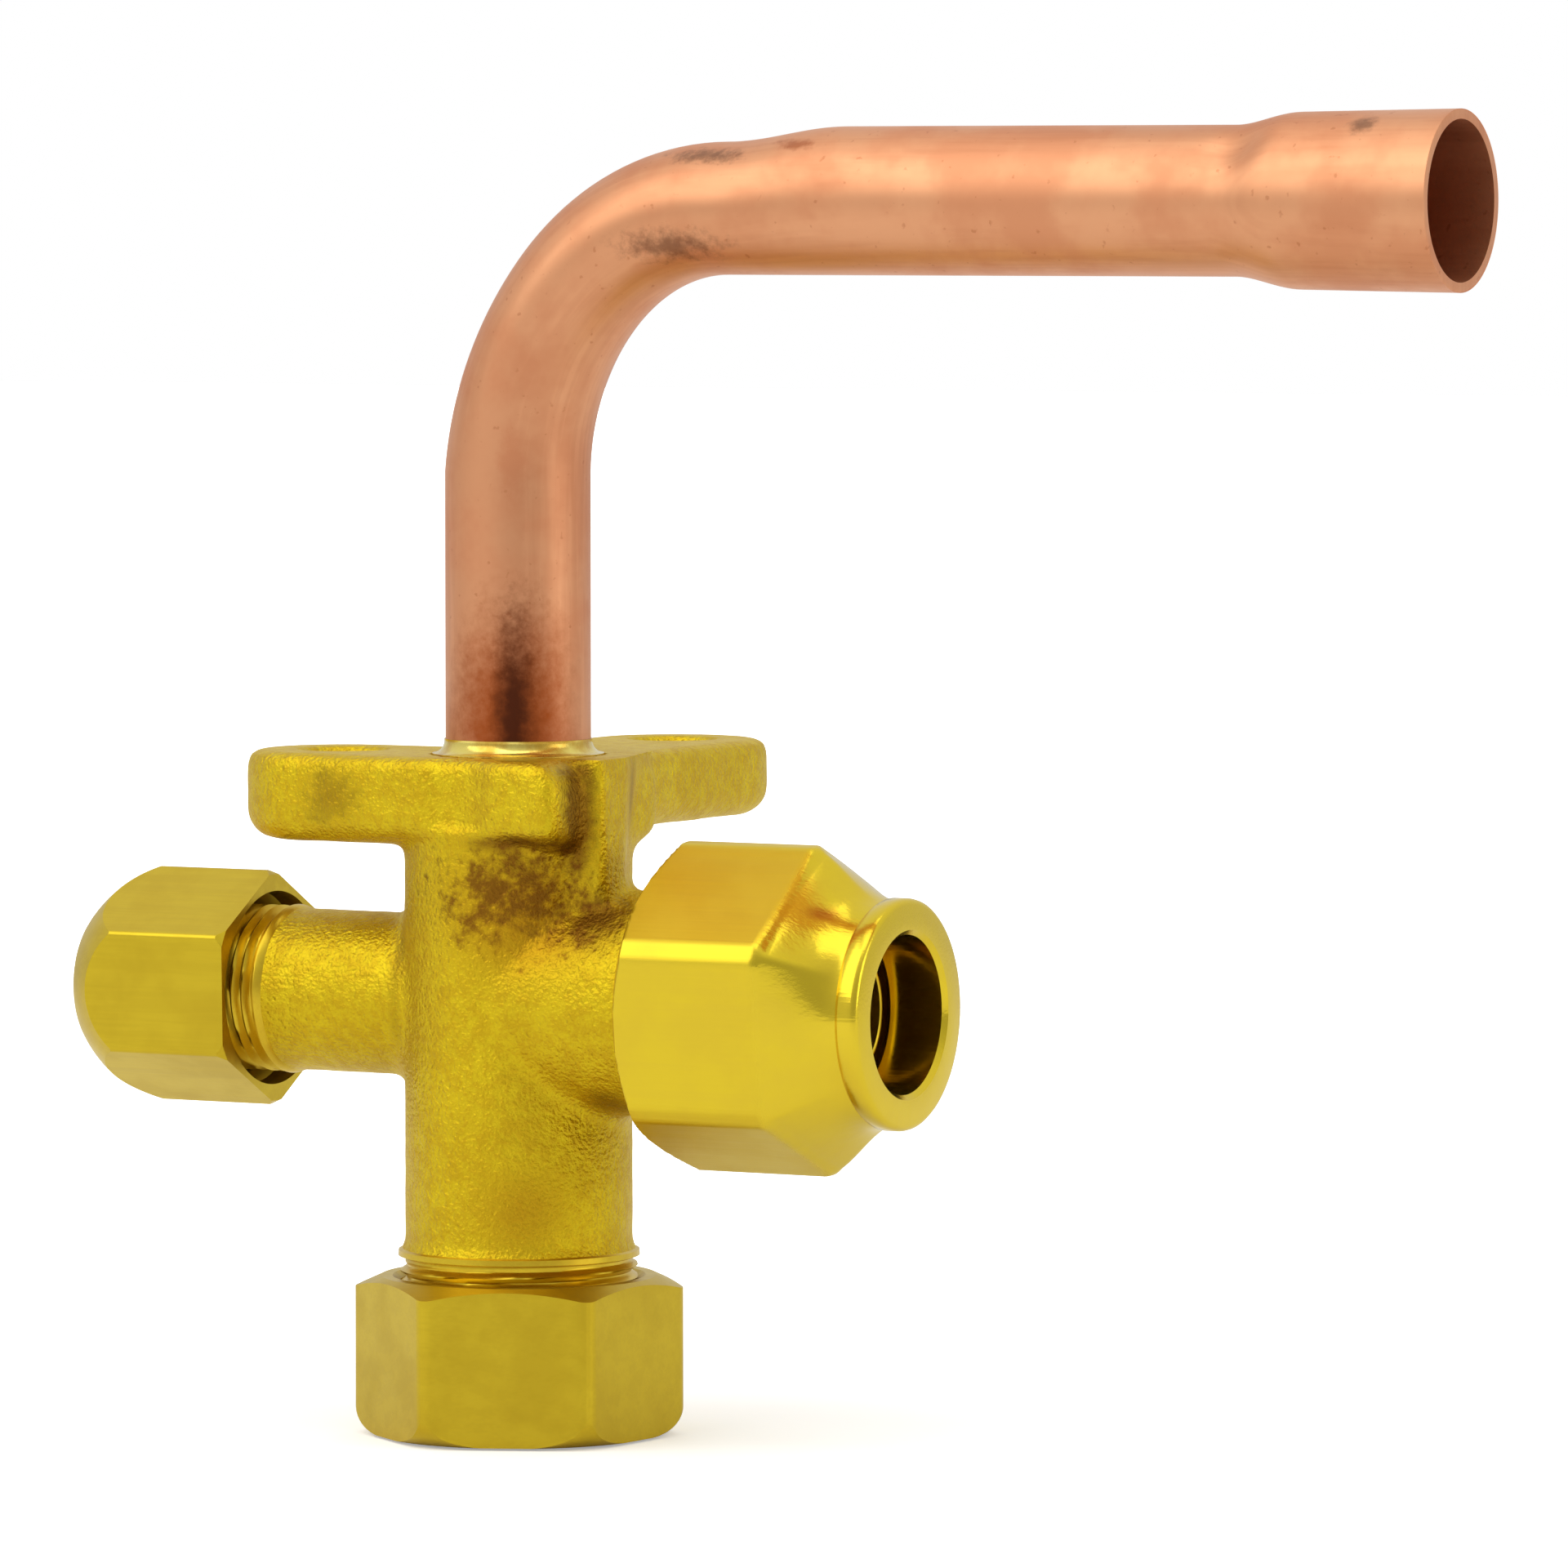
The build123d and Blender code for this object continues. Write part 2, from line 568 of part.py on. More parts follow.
with BuildPart() as stem_cap:
    with BuildSketch(Plane.XY.offset(STEM_CAP_BOTTOM_Z)) as hexagon:
        RegularPolygon(STEM_CAP_AF / 2, 6, major_radius=False, rotation=STEM_CAP_CORNER_AT)
        fillet(hexagon.vertices(), STEM_CAP_CORNER_R)
    extrude(amount=STEM_CAP_MOUTH_Z - STEM_CAP_BOTTOM_Z)
    # both ends are turned
    with BuildSketch(Plane.XZ):
        with BuildLine():
            mouth = Polyline(
                (0, STEM_CAP_MOUTH_Z),
                (STEM_CAP_AF / 2 - STEM_CAP_MOUTH_IN, STEM_CAP_MOUTH_Z),
                (STEM_CAP_AF / 2 + STEM_CAP_ROUND_OUT, STEM_CAP_MOUTH_Z - STEM_CAP_MOUTH_CHAMFER),
                (STEM_CAP_AF / 2 + STEM_CAP_ROUND_OUT, STEM_CAP_BOTTOM_Z + STEM_CAP_CHAMFER),
            )
            rounding = TangentArc(mouth @ 1, (STEM_CAP_FLAT_R, STEM_CAP_BOTTOM_Z), tangent=(0, -1))
            Polyline(rounding @ 1, (0, STEM_CAP_BOTTOM_Z), mouth @ 0)
        make_face()
    revolve(axis=Axis.Z, mode=Mode.INTERSECT)
    # threaded bore, undercut and floor
    with BuildSketch(Plane.XZ):
        with BuildLine():
            Polyline(
                (0, STEM_CAP_MOUTH_Z),
                (CAP_THREAD_R + CLEARANCE + MOUTH_CHAMFER, STEM_CAP_MOUTH_Z),
                (CAP_THREAD_R + CLEARANCE, STEM_CAP_MOUTH_Z - MOUTH_CHAMFER),
                (CAP_THREAD_R + CLEARANCE, STEM_CAP_FLOOR_Z),
                (STEM_CAP_POCKET_R, STEM_CAP_FLOOR_Z),
                (STEM_CAP_POCKET_R - STEM_CAP_POCKET_CONE, STEM_CAP_FLOOR_Z - STEM_CAP_POCKET_DEPTH),
                (0, STEM_CAP_FLOOR_Z - STEM_CAP_POCKET_DEPTH),
                close=True,
            )
        make_face()
    revolve(axis=Axis.Z, mode=Mode.SUBTRACT)

with BuildPart() as stem_cap_gasket:
    with BuildSketch(Plane.XY.offset(STEM_CAP_FLOOR_Z)):
        Circle(STEM_GASKET_R)
        Circle(STEM_GASKET_BORE_R, mode=Mode.SUBTRACT)
    extrude(amount=SEAL_T)

# ---- Flare nut ----------------------------------------------------------------------------------

with BuildPart() as flare_nut:
    # forged hexagon
    with BuildSketch(across_port(NUT_BACK_X, NUT_TURN)) as nut_hexagon:
        RegularPolygon(NUT_AF / 2, 6, major_radius=False, rotation=90)
        fillet(nut_hexagon.vertices(), NUT_CORNER_R)
    extrude(amount=NUT_HEX_END - NUT_BACK_X)
    # turned chamfer on the back
    with BuildSketch(PORT_PLANE):
        with BuildLine():
            Polyline(
                (NUT_BACK_X, 0),
                (NUT_BACK_X, NUT_AF / 2 - NUT_CHAMFER_DROP),
                (NUT_BACK_X + NUT_CHAMFER_LENGTH, NUT_AF / 2 + NUT_CHAMFER_RISE),
                (NUT_HEX_END, NUT_AF / 2 + NUT_CHAMFER_RISE),
                (NUT_HEX_END, 0),
                close=True,
            )
        make_face()
    revolve(axis=PORT_AXIS, mode=Mode.INTERSECT)
    # shoulder that runs from the hexagon into the round collar
    for x, apothem, corner_r in NUT_SHOULDER:
        with BuildSketch(across_port(x, NUT_TURN)) as shoulder_section:
            RegularPolygon(apothem, 6, major_radius=False, rotation=90)
            fillet(shoulder_section.vertices(), corner_r)
    loft()
    # collar
    with BuildSketch(across_port(NUT_COLLAR_START, 0)):
        Circle(NUT_COLLAR_R)
    extrude(amount=NUT_END_X - NUT_COLLAR_START)
    collar_face = flare_nut.faces().sort_by(Axis.X)[-1]
    fillet(collar_face.outer_wire().edges(), NUT_COLLAR_ROUND)
    # threaded bore, flare seat and the pipe's bore
    with BuildSketch(PORT_PLANE):
        with BuildLine():
            Polyline(
                (NUT_BACK_X, 0),
                (NUT_BACK_X, FLARE_THREAD_R + NUT_MOUTH_CHAMFER),
                (NUT_BACK_X + NUT_MOUTH_CHAMFER, FLARE_THREAD_R + CLEARANCE),
                (NUT_SEAT_X - FLARE_THREAD_R - CLEARANCE, FLARE_THREAD_R + CLEARANCE),
                (NUT_SEAT_X - NUT_BORE_R, NUT_BORE_R),
                (NUT_END_X - NUT_BORE_CHAMFER, NUT_BORE_R),
                (NUT_END_X, NUT_BORE_R + NUT_BORE_CHAMFER),
                (NUT_END_X, 0),
                close=True,
            )
        make_face()
    revolve(axis=PORT_AXIS, mode=Mode.SUBTRACT)

# ---- Service port's cap and seal ----------------------------------------------------------------

with BuildPart() as service_cap:
    with BuildSketch(across_port(SERVICE_CAP_END, SERVICE_CAP_TURN)) as cap_hexagon:
        RegularPolygon(SERVICE_CAP_AF / 2, 6, major_radius=False, rotation=90)
        fillet(cap_hexagon.vertices(), SERVICE_CAP_CORNER_R)
    extrude(amount=SERVICE_CAP_MOUTH - SERVICE_CAP_END)
    with BuildSketch(PORT_PLANE):
        with BuildLine():
            centre = Line((SERVICE_CAP_END, 0), (SERVICE_CAP_END, SERVICE_CAP_FLAT_R))
            dome = TangentArc(
                (SERVICE_CAP_END + SERVICE_CAP_DOME, SERVICE_CAP_AF / 2 + SERVICE_CAP_DOME_RISE),
                centre @ 1,
                tangent=(-1, -SERVICE_CAP_DOME_SLOPE),
            )
            Polyline(
                dome @ 0,
                (SERVICE_CAP_MOUTH - SERVICE_CAP_MOUTH_CHAMFER, SERVICE_CAP_AF / 2 + SERVICE_CAP_DOME_RISE),
                (SERVICE_CAP_MOUTH, SERVICE_CAP_AF / 2 + SERVICE_CAP_DOME_RISE - SERVICE_CAP_MOUTH_DROP),
                (SERVICE_CAP_MOUTH, 0),
                centre @ 0,
            )
        make_face()
    revolve(axis=PORT_AXIS, mode=Mode.INTERSECT)
    # relieved mouth, threaded bore and floor
    with BuildSketch(PORT_PLANE):
        with BuildLine():
            Polyline(
                (SERVICE_CAP_MOUTH, 0),
                (SERVICE_CAP_MOUTH, SERVICE_CAP_RELIEF_R),
                (SERVICE_CAP_MOUTH - SERVICE_CAP_RELIEF_DEPTH, SERVICE_CAP_RELIEF_R),
                (SERVICE_CAP_MOUTH - SERVICE_CAP_RELIEF_DEPTH - SERVICE_CAP_LEAD, CAP_BORE_R),
                (SERVICE_CAP_FLOOR_X, CAP_BORE_R),
                (SERVICE_CAP_FLOOR_X, 0),
                close=True,
            )
        make_face()
    revolve(axis=PORT_AXIS, mode=Mode.SUBTRACT)

with BuildPart() as service_cap_seal:
    with BuildSketch(across_port(SERVICE_CAP_FLOOR_X, 0)):
        Circle(SERVICE_SEAL_R)
        Circle(SERVICE_SEAL_BORE_R, mode=Mode.SUBTRACT)
    extrude(amount=SEAL_T)

# ---- Valve core of the service port ---------------------------------------------------------------

# Threaded plug that holds the core in, with two flats for the core key
with BuildPart() as core_plug:
    with BuildSketch(across_port(PLUG_OUTER_X, 0)):
        Circle(PLUG_KEY_R)
    extrude(amount=CORE_HEAD_X - PLUG_OUTER_X)
    with BuildSketch(across_port(PLUG_OUTER_X, 0)):
        for side in (-1, 1):
            with Locations((side * PLUG_KEY_R, 0)):
                Rectangle(PLUG_KEY_R, 2 * PLUG_KEY_R)
    extrude(amount=PLUG_KEY_LENGTH, mode=Mode.SUBTRACT)
    with BuildSketch(across_port(PLUG_OUTER_X + PLUG_KEY_LENGTH, 0)):
        Circle(CORE_THREAD_R - CLEARANCE)
    extrude(amount=CORE_HEAD_X - PLUG_OUTER_X - PLUG_KEY_LENGTH)
    with BuildSketch(across_port(PLUG_OUTER_X, 0)):
        Circle(PLUG_BORE_R)
    extrude(amount=CORE_HEAD_X - PLUG_OUTER_X, mode=Mode.SUBTRACT)

# Barrel: a head that clamps the conical gasket, a tube for the spring, and the lip that seals
with BuildPart() as core_barrel:
    with BuildSketch(PORT_PLANE):
        with BuildLine():
            Polyline(
                (CORE_HEAD_X, CORE_TUBE_R),
                (CORE_HEAD_X, CORE_HEAD_R),
                (CORE_GASKET_X, CORE_HEAD_R),
                (CORE_GASKET_X, CORE_WAIST_R),
                (CORE_GASKET_END_X, CORE_WAIST_R),
                (CORE_GASKET_END_X, CORE_BARREL_R),
                (CORE_LIP_X, CORE_BARREL_R),
                (CORE_LIP_X, CORE_LIP_R),
                (CORE_LIP_X - CORE_LIP_T, CORE_LIP_R),
                (CORE_LIP_X - CORE_LIP_T, CORE_TUBE_R),
                close=True,
            )
        make_face()
    revolve(axis=PORT_AXIS)

with BuildPart() as core_gasket:
    with BuildSketch(PORT_PLANE):
        with BuildLine():
            Polyline(
                (CORE_GASKET_X, CORE_WAIST_R + GAP),
                (CORE_GASKET_X, CORE_HEAD_R),
                (GASKET_CONE_X, CORE_HEAD_R),
                (CORE_GASKET_END_X, CORE_HEAD_R - (CORE_GASKET_END_X - GASKET_CONE_X)),
                (CORE_GASKET_END_X, CORE_WAIST_R + GAP),
                close=True,
            )
        make_face()
    revolve(axis=PORT_AXIS)

# Pin with the collar that the spring pushes on
with BuildPart() as core_pin:
    with BuildSketch(PORT_PLANE):
        with BuildLine():
            Polyline(
                (PIN_OUTER_X, 0),
                (PIN_OUTER_X, PIN_R),
                (PIN_COLLAR_X, PIN_R),
                (PIN_COLLAR_X, PIN_COLLAR_R),
                (PIN_COLLAR_X + PIN_COLLAR_T, PIN_COLLAR_R),
                (PIN_COLLAR_X + PIN_COLLAR_T, PIN_R),
                (CUP_END_X, PIN_R),
                (CUP_END_X, PIN_RIVET_R),
                (CUP_END_X + PIN_RIVET_T, PIN_RIVET_R),
                (CUP_END_X + PIN_RIVET_T, 0),
                close=True,
            )
        make_face()
    revolve(axis=PORT_AXIS)

# Cup on the pin's inner end, and the rubber seal that it holds against the barrel's lip
with BuildPart() as core_cup:
    with BuildSketch(across_port(CUP_END_X - CUP_T, 0)):
        Circle(CUP_R)
        Circle(PIN_R + GAP, mode=Mode.SUBTRACT)
    extrude(amount=CUP_T)

with BuildPart() as core_seat_seal:
    with BuildSketch(across_port(CORE_LIP_X + GAP, 0)):
        Circle(CORE_SEAL_R)
        Circle(PIN_R + GAP, mode=Mode.SUBTRACT)
    extrude(amount=CUP_END_X - CUP_T - CORE_LIP_X - GAP)

# Coil spring between the pin's collar and the barrel's lip
spring_start_x = PIN_COLLAR_X + PIN_COLLAR_T + SPRING_WIRE_R + GAP / 2
spring_end_x = CORE_LIP_X - CORE_LIP_T - SPRING_WIRE_R - GAP / 2
with BuildPart() as core_spring:
    with BuildLine() as coil:
        Helix(
            pitch=(spring_end_x - spring_start_x) / SPRING_TURNS,
            height=spring_end_x - spring_start_x,
            radius=SPRING_R,
            center=(spring_start_x, 0, PORT_Z),
            direction=(1, 0, 0),
        )
    with BuildSketch(Plane(origin=coil.line @ 0, z_dir=coil.line % 0)):
        RegularPolygon(SPRING_WIRE_R, 6)
    sweep(path=coil.line, is_frenet=True)

# ---- Write one STEP file per piece ----------------------------------------------------------------

pieces = {
    "valve_body": valve_body,
    "connection_pipe": connection_pipe,
    "pipe_run": pipe_run,
    "braze_fillet": braze_fillet,
    "stem": stem,
    "stem_o_ring_inner": o_rings["stem_o_ring_inner"],
    "stem_o_ring_outer": o_rings["stem_o_ring_outer"],
    "stem_backup_ring": stem_backup_ring,
    "retaining_ring": retaining_ring,
    "stem_cap": stem_cap,
    "stem_cap_gasket": stem_cap_gasket,
    "flare_nut": flare_nut,
    "service_cap": service_cap,
    "service_cap_seal": service_cap_seal,
    "core_plug": core_plug,
    "core_barrel": core_barrel,
    "core_gasket": core_gasket,
    "core_pin": core_pin,
    "core_cup": core_cup,
    "core_seat_seal": core_seat_seal,
    "core_spring": core_spring,
}
for name, piece in pieces.items():
    piece.part.label = name
    export_step(piece.part, f"parts/{name}.step")
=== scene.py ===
import logging
import math
from dataclasses import dataclass
from enum import Enum
from typing import Callable, Sequence

import bmesh
import bpy
import numpy as np
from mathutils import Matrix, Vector, noise


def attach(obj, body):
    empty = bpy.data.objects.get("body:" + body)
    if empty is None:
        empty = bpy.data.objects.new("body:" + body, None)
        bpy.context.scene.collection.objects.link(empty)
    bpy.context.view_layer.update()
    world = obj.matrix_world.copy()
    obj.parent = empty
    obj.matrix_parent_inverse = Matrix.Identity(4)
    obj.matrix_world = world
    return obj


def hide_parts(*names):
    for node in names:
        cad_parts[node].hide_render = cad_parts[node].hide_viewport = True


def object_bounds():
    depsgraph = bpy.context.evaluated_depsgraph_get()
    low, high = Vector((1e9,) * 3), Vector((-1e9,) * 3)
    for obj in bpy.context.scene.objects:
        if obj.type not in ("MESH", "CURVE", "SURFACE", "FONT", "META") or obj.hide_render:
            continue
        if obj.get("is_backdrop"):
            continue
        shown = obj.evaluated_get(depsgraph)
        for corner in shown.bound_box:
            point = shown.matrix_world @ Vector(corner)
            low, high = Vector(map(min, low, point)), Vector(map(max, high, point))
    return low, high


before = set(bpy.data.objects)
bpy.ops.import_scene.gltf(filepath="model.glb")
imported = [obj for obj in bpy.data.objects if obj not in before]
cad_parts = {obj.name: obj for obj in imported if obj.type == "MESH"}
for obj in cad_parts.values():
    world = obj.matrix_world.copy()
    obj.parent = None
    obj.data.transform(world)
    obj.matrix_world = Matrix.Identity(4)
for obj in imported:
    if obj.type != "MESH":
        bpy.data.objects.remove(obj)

# Looks of a refrigerant service valve: a forged brass body, a copper pipe, screwed caps and a flare nut.
# Everything is in metres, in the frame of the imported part: +Z along the valve, +X along the flare port.

LOG = logging.getLogger("service_valve")
MM = 0.001
PORT_HEIGHT = -20.2  # of both side ports' common axis, in mm
Socket = bpy.types.NodeSocket


class Port(Enum):
    """The valve's three threaded ends: a point on each one's axis in mm, and the way it points."""

    STEM = ((0.0, 0.0, 0.0), (0.0, 0.0, -1.0))
    FLARE = ((0.0, 0.0, PORT_HEIGHT), (1.0, 0.0, 0.0))
    SERVICE = ((0.0, 0.0, PORT_HEIGHT), (-1.0, 0.0, 0.0))

    def frame(self) -> tuple[Vector, Vector, Vector, Vector]:
        """The end's axis in metres.

        Returns:
            A point on the axis, the outward direction, and two directions across it, right-handed.
        """
        origin, outward = Vector(self.value[0]) * MM, Vector(self.value[1])
        across = Vector((0, 1, 0))
        return origin, outward, across, outward.cross(across)


# ---- Node building -----------------------------------------------------------------------------


class Tree:
    """A node tree with short methods for the nodes that the finishes are built from."""

    def __init__(self, tree: bpy.types.NodeTree) -> None:
        """Wraps a tree.

        Args:
            tree: The node tree of a material, a world or a group.
        """
        self.tree = tree

    def node(self, kind: str, **settings: object) -> bpy.types.Node:
        """Adds a node.

        Args:
            kind: The node's type name, without the ShaderNode prefix.
            settings: Properties to set on the node.

        Returns:
            The new node.
        """
        made = self.tree.nodes.new("ShaderNode" + kind)
        for name, value in settings.items():
            setattr(made, name, value)
        return made

    def feed(self, target: Socket, value: object) -> None:
        """Links a socket to an input, or sets the input's value.

        Args:
            target: The input socket.
            value: An output socket, or a plain value.
        """
        if isinstance(value, bpy.types.NodeSocket):
            self.tree.links.new(value, target)
        else:
            target.default_value = value

    def math(self, operation: str, *values: object, clamp: bool = False) -> Socket:
        """Adds a Math node.

        Args:
            operation: What it works out.
            values: Its inputs in order, each a socket or a plain value.
            clamp: Whether the result is kept between 0 and 1.

        Returns:
            The node's output.
        """
        made = self.node("Math", operation=operation, use_clamp=clamp)
        for k, value in enumerate(values):
            self.feed(made.inputs[k], value)
        return made.outputs[0]

    def vector(self, operation: str, *values: object) -> Socket:
        """Adds a Vector Math node.

        Args:
            operation: What it works out.
            values: Its inputs in order, each a socket or a plain value.

        Returns:
            The node's output.
        """
        made = self.node("VectorMath", operation=operation)
        for k, value in enumerate(values):
            self.feed(made.inputs[k], value)
        return made.outputs["Value" if operation in ("LENGTH", "DISTANCE") else "Vector"]

    def noise(
        self, place: object, scale: object, detail: float = 3.0, roughness: float = 0.55
    ) -> Socket:
        """Adds a Noise Texture.

        Args:
            place: Where it is read.
            scale: How fine it is, per metre.
            detail: Number of finer layers.
            roughness: How strong those layers are.

        Returns:
            Its value, which lies around 0.5.
        """
        made = self.node("TexNoise")
        self.feed(made.inputs["Vector"], place)
        self.feed(made.inputs["Scale"], scale)
        made.inputs["Detail"].default_value = detail
        made.inputs["Roughness"].default_value = roughness
        return made.outputs["Fac"]

    def ramp(
        self, value: object, low: object, high: object, to_low: object = 0.0, to_high: object = 1.0
    ) -> Socket:
        """Maps a value smoothly from one range to another.

        Args:
            value: The value.
            low: Start of its range.
            high: End of its range.
            to_low: What the start becomes.
            to_high: What the end becomes.

        Returns:
            The result.
        """
        made = self.node("MapRange", interpolation_type="SMOOTHSTEP", clamp=True)
        for k, number in enumerate((value, low, high, to_low, to_high)):
            self.feed(made.inputs[k], number)
        return made.outputs["Result"]

    def mix(self, share: object, first: object, second: object) -> Socket:
        """Mixes two colours.

        Args:
            share: How much of the second one is taken.
            first: The first colour.
            second: The second colour.

        Returns:
            The mixed colour.
        """
        made = self.node("Mix", data_type="RGBA")
        self.feed(made.inputs["Factor"], share)
        self.feed(made.inputs["A"], first)
        self.feed(made.inputs["B"], second)
        return made.outputs["Result"]

    def group(self, group: bpy.types.NodeTree, **values: object) -> bpy.types.Node:
        """Places a node group.

        Args:
            group: The group's tree.
            values: What its inputs are fed with, by name.

        Returns:
            The group node.
        """
        made = self.node("Group", node_tree=group)
        for name, value in values.items():
            self.feed(made.inputs[name], value)
        return made

    def rest_place(self) -> Socket:
        """Returns the point's place on the resting part, which moves with its piece."""
        return self.node("TexCoord").outputs["Object"]


def effect_group(
    name: str, inputs: Sequence[tuple[str, str, object]], outputs: Sequence[tuple[str, str]]
) -> Tree:
    """Makes an empty node group with named sockets.

    Args:
        name: The group's name.
        inputs: Name, kind (Float, Vector or Color) and default of each input.
        outputs: Name and kind of each output.

    Returns:
        The group's tree, with nodes named "in" and "out".
    """
    group = bpy.data.node_groups.new(name, "ShaderNodeTree")
    for label, kind, default in inputs:
        made = group.interface.new_socket(label, in_out="INPUT", socket_type="NodeSocket" + kind)
        if default is not None:
            made.default_value = default
    for label, kind in outputs:
        group.interface.new_socket(label, in_out="OUTPUT", socket_type="NodeSocket" + kind)
    group.nodes.new("NodeGroupInput").name = "in"
    group.nodes.new("NodeGroupOutput").name = "out"
    return Tree(group)


class Effects:
    """The effects that several finishes share, each built once as a node group."""

    def __init__(self) -> None:
        """Builds all the groups."""
        self.stain = self._stain_and_shade()
        self.cast_skin = self._cast_skin()
        self.drawn_lines = self._drawn_lines()
        self.tarnish = self._tarnish()

    @staticmethod
    def _stain_and_shade() -> bpy.types.NodeTree:
        """A local patch, for stains and for painted shade: 1 inside an ellipsoid, with a soft and ragged
        edge.

        Returns:
            The group, which puts out Mask.
        """
        tree = effect_group(
            "local_stain_and_shade",
            [("Place", "Vector", None), ("Centre", "Vector", None), ("Reach", "Vector", (1, 1, 1)),
             ("Softness", "Float", 0.5), ("Raggedness", "Float", 0.5), ("Grain", "Float", 900.0)],
            [("Mask", "Float")],
        )
        at, out = tree.tree.nodes["in"].outputs, tree.tree.nodes["out"].inputs
        offset = tree.vector("DIVIDE", tree.vector("SUBTRACT", at["Place"], at["Centre"]), at["Reach"])
        distance = tree.vector("LENGTH", offset)
        wobble = tree.math("SUBTRACT", tree.noise(at["Place"], at["Grain"], 4.0, 0.65), 0.5)
        ragged = tree.math("MULTIPLY_ADD", wobble, at["Raggedness"], distance)
        inner = tree.math("SUBTRACT", 1.0, at["Softness"])
        tree.feed(out["Mask"], tree.ramp(ragged, inner, 1.0, 1.0, 0.0))
        return tree.tree

    @staticmethod
    def _cast_skin() -> bpy.types.NodeTree:
        """The blasted skin of a forging: fine grain, shallow dimples and a few pits.

        Returns:
            The group, which puts out Height and Mask.
        """
        tree = effect_group(
            "cast_skin",
            [("Place", "Vector", None), ("Pitting", "Float", 0.0)],
            [("Height", "Float"), ("Mask", "Float")],
        )
        at, out = tree.tree.nodes["in"].outputs, tree.tree.nodes["out"].inputs
        grain = tree.noise(at["Place"], 3600.0, 2.0, 0.5)
        lumps = tree.noise(at["Place"], 900.0, 3.0, 0.6)
        cells = tree.node("TexVoronoi", feature="SMOOTH_F1")
        tree.feed(cells.inputs["Vector"], at["Place"])
        cells.inputs["Scale"].default_value = 1900.0
        pits = tree.ramp(cells.outputs["Distance"], 0.1, 0.55, 0.0, 1.0)
        pitted = tree.math("MULTIPLY", tree.math("SUBTRACT", pits, 1.0), at["Pitting"])
        height = tree.math("MULTIPLY_ADD", grain, 0.8, tree.math("MULTIPLY", lumps, 0.6))
        tree.feed(out["Height"], tree.math("ADD", height, pitted))
        rust = tree.math("MULTIPLY_ADD", grain, 0.4, lumps)
        tree.feed(out["Mask"], tree.ramp(rust, 0.55, 0.85))
        return tree.tree

    @staticmethod
    def _drawn_lines() -> bpy.types.NodeTree:
        """Lines left by drawing or turning: noise stretched along one direction.

        Returns:
            The group, which puts out Height and Mask.
        """
        tree = effect_group(
            "drawn_lines",
            [("Place", "Vector", None), ("Stretch", "Vector", (0.03, 1, 1)),
             ("Fineness", "Float", 4000.0)],
            [("Height", "Float"), ("Mask", "Float")],
        )
        at, out = tree.tree.nodes["in"].outputs, tree.tree.nodes["out"].inputs
        stretched = tree.vector("MULTIPLY", at["Place"], at["Stretch"])
        fine = tree.noise(stretched, at["Fineness"], 2.0, 0.5)
        broad = tree.noise(stretched, tree.math("MULTIPLY", at["Fineness"], 0.22), 2.0, 0.5)
        both = tree.math("MULTIPLY_ADD", broad, 0.6, tree.math("MULTIPLY", fine, 0.4))
        tree.feed(out["Height"], both)
        tree.feed(out["Mask"], tree.ramp(both, 0.42, 0.6))
        return tree.tree

    @staticmethod
    def _tarnish() -> bpy.types.NodeTree:
        """Broad cloudy tarnish with fine specks in it.

        Returns:
            The group, which puts out Clouds and Specks.
        """
        tree = effect_group(
            "tarnish",
            [("Place", "Vector", None), ("Spread", "Float", 120.0)],
            [("Clouds", "Float"), ("Specks", "Float")],
        )
        at, out = tree.tree.nodes["in"].outputs, tree.tree.nodes["out"].inputs
        clouds = tree.noise(at["Place"], at["Spread"], 4.0, 0.6)
        specks = tree.noise(at["Place"], tree.math("MULTIPLY", at["Spread"], 14.0), 2.0, 0.4)
        tree.feed(out["Clouds"], tree.ramp(clouds, 0.38, 0.66))
        tree.feed(out["Specks"], tree.ramp(specks, 0.68, 0.78))
        return tree.tree


# ---- Finishes ----------------------------------------------------------------------------------


Colour = tuple[float, float, float, float]


def shade(red: float, green: float, blue: float) -> Colour:
    """A colour given as it shows on a screen, turned into the linear values that nodes take.

    Args:
        red: Its red, from 0 to 1.
        green: Its green.
        blue: Its blue.

    Returns:
        The linear colour, opaque.
    """
    linear = [c / 12.92 if c <= 0.04045 else ((c + 0.055) / 1.055) ** 2.4 for c in (red, green, blue)]
    return (linear[0], linear[1], linear[2], 1.0)


@dataclass(frozen=True)
class StainAndShade:
    """A local patch of colour on a finish, used for stains and for painted shade.

    Attributes:
        centre: Its middle, in mm.
        reach: Its half sizes, in mm.
        colour: Its colour.
        strength: How much of it covers the metal.
        softness: The share of its reach over which it fades.
        raggedness: How much its edge wanders.
    """

    centre: tuple[float, float, float]
    reach: tuple[float, float, float]
    colour: Colour
    strength: float = 0.8
    softness: float = 0.6
    raggedness: float = 1.2


